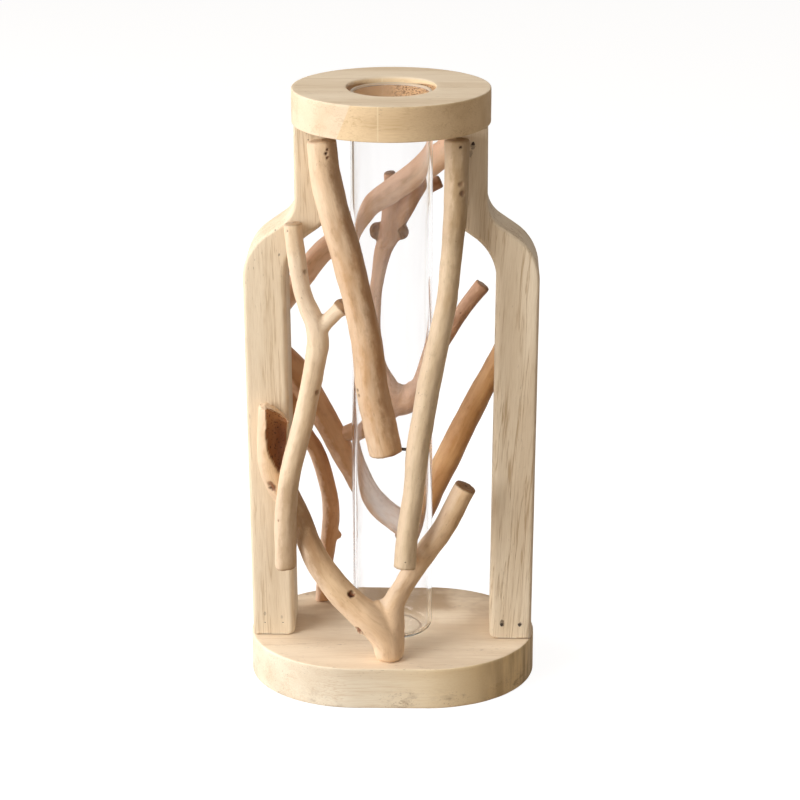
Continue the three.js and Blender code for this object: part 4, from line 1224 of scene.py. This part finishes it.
def split_depth(points):
    """How far the broken-open end of the standing fork's left arm is hollowed out behind each point."""
    x, y, z = points.T
    opening = 1 - (1 - np.clip((z - SPLIT_LOW) / (SPLIT_FULL - SPLIT_LOW), 0, 1)) ** 2
    wander = rough_at(points / SPLIT_WANDER_SIZE)
    half = SPLIT_HALF_WIDTH * opening**SPLIT_TAPER * (1 + SPLIT_WANDER * wander) + 1e-6
    off = (x - SPLIT_MIDDLE) / half
    inside = (abs(off) < 1) & (z > SPLIT_LOW) & (y < SPLIT_BEHIND) & (x < SPLIT_ARM_SIDE)
    rough = rough_at(points / SPLIT_ROUGH_SIZE)
    bowl = np.sqrt(np.maximum(1 - off**2, 0)) ** SPLIT_BOWL
    depth = SPLIT_DEPTH * (SPLIT_START + (1 - SPLIT_START) * opening)
    floor = SPLIT_LIP + (depth + SPLIT_ROUGHNESS * rough) * bowl
    return np.where(inside, np.maximum(floor - y, 0), 0)


def sunk_places(name, points, lines):
    """Offsets and masks for the pits, knots and stained places of a branch, and for its split."""
    sink = np.zeros((len(points), 3))
    mask = np.zeros(len(points))
    for limb, run, turn, radius, depth, dark in BRANCH_PITS.get(name, []):
        centre, out = lines[limb].spot(run, turn)
        off = points - centre
        level = off @ out
        away = np.linalg.norm(off - level[:, None] * out, axis=1)
        near = (abs(level) < PIT_REACH) & (away < 2 * radius)
        dip = (1 - soft_step(away, radius * PIT_BOTTOM, radius * PIT_RIM)) * near
        sink -= out * (dip * depth)[:, None]
        ragged = rough_at(points[near] / PIT_RAG_SIZE)
        stain = np.zeros(len(points))
        stain[near] = 1 - soft_step(away[near] * (1 + PIT_RAG * ragged), radius * PIT_STAIN, radius * PIT_RIM)
        mask = np.maximum(mask, stain * dark)
    hollow = np.zeros(len(points))
    if name == "standing_fork":
        deep = split_depth(points)
        sink[:, 1] += deep
        hollow = soft_step(deep, *SPLIT_SHADE)
        teeth = 0.5 + 0.5 * rough_at(points / TOOTH_SIZE)
        fall = BROKEN_FALL * np.clip((points[:, 0] - BROKEN_START) / BROKEN_WIDTH, 0, 1)
        upper = soft_step(points[:, 2], BROKEN_LOW, BROKEN_HIGH) * (points[:, 0] < SPLIT_ARM_SIDE)
        sink[:, 2] -= upper * (fall + BROKEN_TEETH * teeth)
    return sink, mask, hollow


def cut_ends(name, points, lines):
    """A mask of the sawn ends of a branch."""
    mask = np.zeros(len(points))
    for limb, end, dark in BRANCH_ENDS.get(name, []):
        line = lines[limb]
        out = line.along[end] * (1 if end else -1)
        off = points - line.points[end]
        level = off @ out
        away = np.linalg.norm(off - level[:, None] * out, axis=1)
        mask = np.maximum(mask, dark * soft_step(level, *END_SKIN) * (away < line.radius[end] * END_REACH))
    return mask


def make_branch(name, slot, material, sweep, surface):
    """Sweeps a branch, closes it to one skin, and roughens, pits and splits that."""
    values = {"Step": LIMB_STEP * MM, "Facets": LIMB_FACETS, "Finish": material}
    skin = shaped(station_mesh(name), sweep, values, LIMB_VOXEL * MM)
    points = read_points(skin) / MM
    lines = [LimbLine(limb) for limb in BRANCH_LIMBS[name]]
    sink, pit, hollow = sunk_places(name, points, lines)
    write_numbers(skin, "grain", grain_of(points, lines) * MM)
    write_numbers(skin, "sink", sink * MM)
    write_numbers(skin, "pit", pit)
    write_numbers(skin, "hollow", hollow)
    write_numbers(skin, "cut", cut_ends(name, points, lines))
    values = {
        "Smoothing": LIMB_SMOOTHING, "Lump Height": LUMP_HEIGHT * MM, "Ridge Height": RIDGE_HEIGHT * MM,
        "Finish": material,
    }
    mesh = shaped(skin, surface, values)
    mesh.attributes.remove(mesh.attributes["sink"])
    return place_piece(name + "_wood", mesh, "frame", slot, name)


# Nails

def nail_tree():
    """A brad with a domed head on each point, turned along its drive and as long as its reach."""
    tree, given = new_shape_tree("brads", [("Radius", "NodeSocketFloat"), ("Finish", "NodeSocketMaterial")])
    radius = given["Radius"]
    drive = named(tree, "drive", "FLOAT_VECTOR")
    turn = first(tree, "FunctionNodeAlignRotationToVector", {"Vector": drive}, axis="Z")
    girth = named(tree, "girth", "FLOAT")
    long = first(tree, "ShaderNodeCombineXYZ", {0: girth, 1: girth, 2: named(tree, "reach", "FLOAT")})
    shank = first(tree, "GeometryNodeMeshCylinder", {
        "Vertices": NAIL_SIDES, "Side Segments": 1, "Radius": radius, "Depth": 1.0,
    })
    shank = first(tree, "GeometryNodeTransform", {"Geometry": shank, "Translation": (0, 0, 0.5)})
    dome = first(tree, "GeometryNodeMeshUVSphere", {
        "Segments": NAIL_SIDES, "Rings": NAIL_HEAD_RINGS, "Radius": radius,
    })
    dome = first(tree, "GeometryNodeTransform", {"Geometry": dome, "Scale": NAIL_HEAD})
    set_on = [
        first(tree, "GeometryNodeInstanceOnPoints", {
            "Points": given["Geometry"], "Instance": shape, "Rotation": turn, "Scale": size,
        })
        for shape, size in ((shank, long), (dome, girth))
    ]
    smooth = first(tree, "GeometryNodeSetShadeSmooth", {"Geometry": joined(tree, *set_on)})
    return end_shape_tree(tree, smooth, given["Finish"])


def nail_heads_first(name):
    """The way from a nail's tip to its head, as the solids give it."""
    if name.endswith("nail_foot") and name not in ("left_fork_nail_foot", "long_branch_nail_foot"):
        return Vector((-1, 0, 0)) if name.startswith("knobby") else Vector((0, 0, -1))
    if "_foot_nail_" in name:
        return Vector((0, -0.1, 1))
    if "_neck_nail_" in name:
        return Vector((0, -0.1 if name.endswith("front") else 0.1, -1))
    if name == "crossing_nail":
        return Vector((1, 0, 0))
    rear = any(word in name for word in ("rear", "knobby"))
    return Vector((0, 1 if rear else -1, 0))


def nail_line(name):
    """Head and tip of a nail, from the solid it replaces."""
    points = np.array([v.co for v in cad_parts[name].data.vertices])
    centre = points.mean(axis=0)
    axis = np.linalg.svd(points - centre)[2][0]
    if Vector(axis).dot(nail_heads_first(name)) < 0:
        axis = -axis
    reach = (points - centre) @ axis
    return Vector(centre + axis * reach.max()), Vector(centre + axis * reach.min())


def wood_under(pieces):
    """A search tree over the faces of the wooden pieces."""
    points, faces = [], []
    for piece in pieces:
        start = len(points)
        points += [v.co.copy() for v in piece.data.vertices]
        faces += [[start + i for i in p.vertices] for p in piece.data.polygons]
    return BVHTree.FromPolygons(points, faces)


def make_nails(material, wooden):
    """Sets every brad with its head on the wood, sunk where filler covers it or it comes from below."""
    names = [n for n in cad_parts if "nail" in n]
    wood = wood_under(wooden)
    points, drives, reaches, girths = [], [], [], []
    for name in names:
        head, tip = nail_line(name)
        out = (head - tip).normalized()
        hit = wood.ray_cast(head + out * NAIL_SEARCH * MM, -out, 3 * NAIL_SEARCH * MM)[0]
        proud = NAIL_UNDERSIDE if out.z < NAIL_FROM_BELOW else NAIL_PROUD
        if name.startswith(FILLED_NAILS):
            proud = -NAIL_FILLER
        top = (hit or head) + out * (proud - NAIL_RADIUS * NAIL_HEAD[2]) * MM
        points.append(top)
        drives.append(-out)
        reaches.append((top - tip).length)
        stout = "_foot_nail_" in name or "_neck_nail_" in name or name == "crossing_nail"
        girths.append(1.0 if stout else FINE_NAIL_SHARE)
    mesh = bpy.data.meshes.new("nail places")
    mesh.from_pydata(points, [], [])
    for label, values in (("drive", drives), ("reach", reaches), ("girth", girths)):
        write_numbers(mesh, label, values)
    made = shaped(mesh, nail_tree(), {"Radius": NAIL_RADIUS * MM, "Finish": material})
    return place_piece("frame_nails", made, "frame", "nail_steel", *names)


# Scene

FLOOR_SIZE = 9.0
FLOOR_GLOW = 0.9
FLOOR_CATCH = (0.3, 0.3, 0.3, 1)
FLOOR_BOUNCE = (0.40, 0.31, 0.22, 1)
WHITE = (1, 1, 1, 1)
LAMP_AIM = (0.0, 0.0, 0.15)
LAMPS = {
    # place, size, power, colour
    "window_light": ((-1.23, -0.86, 0.70), (1.0, 1.3), 25.8, (1.0, 0.995, 0.98)),
    "rear_window_light": ((-1.5, 0.5, 0.72), (0.9, 0.9), 11.5, (1.0, 0.97, 0.93)),
    "ceiling_light": ((0.0, -0.25, 1.9), (1.4, 1.4), 9.4, (1.0, 0.98, 0.95)),
    "front_light": ((0.35, -1.7, 0.6), (1.0, 1.0), 2.4, (1.0, 0.97, 0.92)),
    "strip_light": ((1.05, -1.25, 0.5), (0.025, 1.3), 1.0, (1.0, 0.98, 0.95)),
}
AIR_LIGHT = (0.13, 0.095, 0.065)


def seen_directly(tree):
    """1 for what the camera sees, straight or in gloss and glass."""
    path = add_node(tree, "ShaderNodeLightPath").outputs
    seen = path["Is Camera Ray"]
    for ray in ("Is Glossy Ray", "Is Transmission Ray"):
        seen = first(tree, "ShaderNodeMath", {0: seen, 1: path[ray]}, operation="MAXIMUM")
    return seen


def make_floor():
    """A floor that looks white and keeps the shadow, but throws back only warm, dim light."""
    material = bpy.data.materials.new("pale studio floor")
    material.use_nodes = True
    tree = material.node_tree
    tree.nodes.clear()
    glow = first(tree, "ShaderNodeEmission", {"Color": WHITE, "Strength": FLOOR_GLOW})
    catch = first(tree, "ShaderNodeBsdfDiffuse", {"Color": FLOOR_CATCH})
    shown = first(tree, "ShaderNodeAddShader", {0: glow, 1: catch})
    bounce = first(tree, "ShaderNodeBsdfDiffuse", {"Color": FLOOR_BOUNCE})
    mixed = first(tree, "ShaderNodeMixShader", {0: seen_directly(tree), 1: bounce, 2: shown})
    add_node(tree, "ShaderNodeOutputMaterial", {"Surface": mixed})
    half = FLOOR_SIZE / 2
    mesh = bpy.data.meshes.new("studio_floor")
    mesh.from_pydata([(-half, -half, 0), (half, -half, 0), (half, half, 0), (-half, half, 0)], [], [(0, 1, 2, 3)])
    mesh.materials.append(material)
    floor = bpy.data.objects.new("studio_floor", mesh)
    bpy.context.scene.collection.objects.link(floor)


def make_light():
    """Large soft lamps from the left and above, and dim warm air."""
    for name, (place, size, power, colour) in LAMPS.items():
        lamp = bpy.data.lights.new(name, "AREA")
        lamp.shape = "RECTANGLE"
        lamp.size, lamp.size_y = size
        lamp.energy = power
        lamp.color = colour
        holder = bpy.data.objects.new(name, lamp)
        holder.location = place
        holder.rotation_euler = (Vector(LAMP_AIM) - Vector(place)).to_track_quat("-Z", "Y").to_euler()
        bpy.context.scene.collection.objects.link(holder)
    world = bpy.data.worlds.new("studio_air")
    world.use_nodes = True
    tree = world.node_tree
    tree.nodes.clear()
    colour = add_node(tree, "ShaderNodeMix", {
        0: seen_directly(tree), 6: (*AIR_LIGHT, 1), 7: WHITE,
    }, data_type="RGBA").outputs[2]
    sky = first(tree, "ShaderNodeBackground", {"Color": colour, "Strength": 1.0})
    add_node(tree, "ShaderNodeOutputWorld", {"Surface": sky})
    bpy.context.scene.world = world


def make_camera():
    """The camera at the fitted place, looking ahead with a slight tilt."""
    pitch, yaw, roll = (math.radians(a) for a in (CAMERA_PITCH, CAMERA_YAW, CAMERA_ROLL))
    ahead = Vector((math.sin(yaw) * math.cos(pitch), math.cos(yaw) * math.cos(pitch), -math.sin(pitch)))
    right = Vector((math.cos(yaw), -math.sin(yaw), 0.0))
    up = right.cross(ahead)
    tilted = math.cos(roll) * right + math.sin(roll) * up
    upright = math.cos(roll) * up - math.sin(roll) * right
    turn = Matrix((tilted, upright, -ahead)).transposed().to_4x4()
    data = bpy.data.cameras.new("camera")
    data.lens = CAMERA_LENS
    data.sensor_width = CAMERA_SENSOR
    camera = bpy.data.objects.new("camera", data)
    camera.matrix_world = Matrix.Translation(Vector(CAMERA_PLACE) * MM) @ turn
    bpy.context.scene.collection.objects.link(camera)
    bpy.context.scene.camera = camera


make_camera()
make_light()
make_floor()
bpy.context.scene.view_settings.view_transform = "Standard"

left_wood = sawn_wood(
    "left post wood", LEFT_FIBRE, (0.11, 0.03, 0.0),
    POST_SIDE_TONE, POST_FLAT_TONE, tone(190, 164, 128), PORE_BROWN, 0.6, post_scars(LEFT_SCARS),
)
right_wood = sawn_wood(
    "right post wood", RIGHT_FIBRE, (0.02, 0.07, 0.05),
    POST_SIDE_TONE, POST_FLAT_TONE, tone(182, 154, 117), PORE_BROWN, 0.85, post_scars(RIGHT_SCARS),
)
board_wood = sawn_wood(
    "base board wood", FIBRE_ACROSS, (0.3, 0.02, 0.01),
    tone(249, 241, 222), tone(255, 238, 213), tone(204, 174, 138), PORE_BROWN, 0.35, rim_stains_and_painted_shade,
)
disc_wood = sawn_wood(
    "top disc wood", FIBRE_ACROSS, (0.05, 0.4, 0.02),
    tone(240, 222, 197), tone(240, 224, 199), tone(190, 160, 118), tone(104, 72, 40), 0.35, glued_staves,
)
wooden = [
    make_base_board(board_wood),
    make_top_disc(disc_wood),
    make_post("left_post", left_wood),
    make_post("right_post", right_wood),
]
sweep, surface = limb_tree(), surface_tree()
for order, (branch, tones) in enumerate(BRANCH_FINISHES.items()):
    shift = [order * way for way in BRANCH_SHIFT]
    finish = driftwood(branch.replace("_", " ") + " wood", shift, BRANCH_STRETCHES.get(branch, []), *tones)
    slot = "light_driftwood" if branch in LIGHT_BRANCHES else "brown_driftwood"
    wooden.append(make_branch(branch, slot, finish, sweep, surface))
make_glass_tube(clear_glass())
make_nails(nail_steel(), wooden)
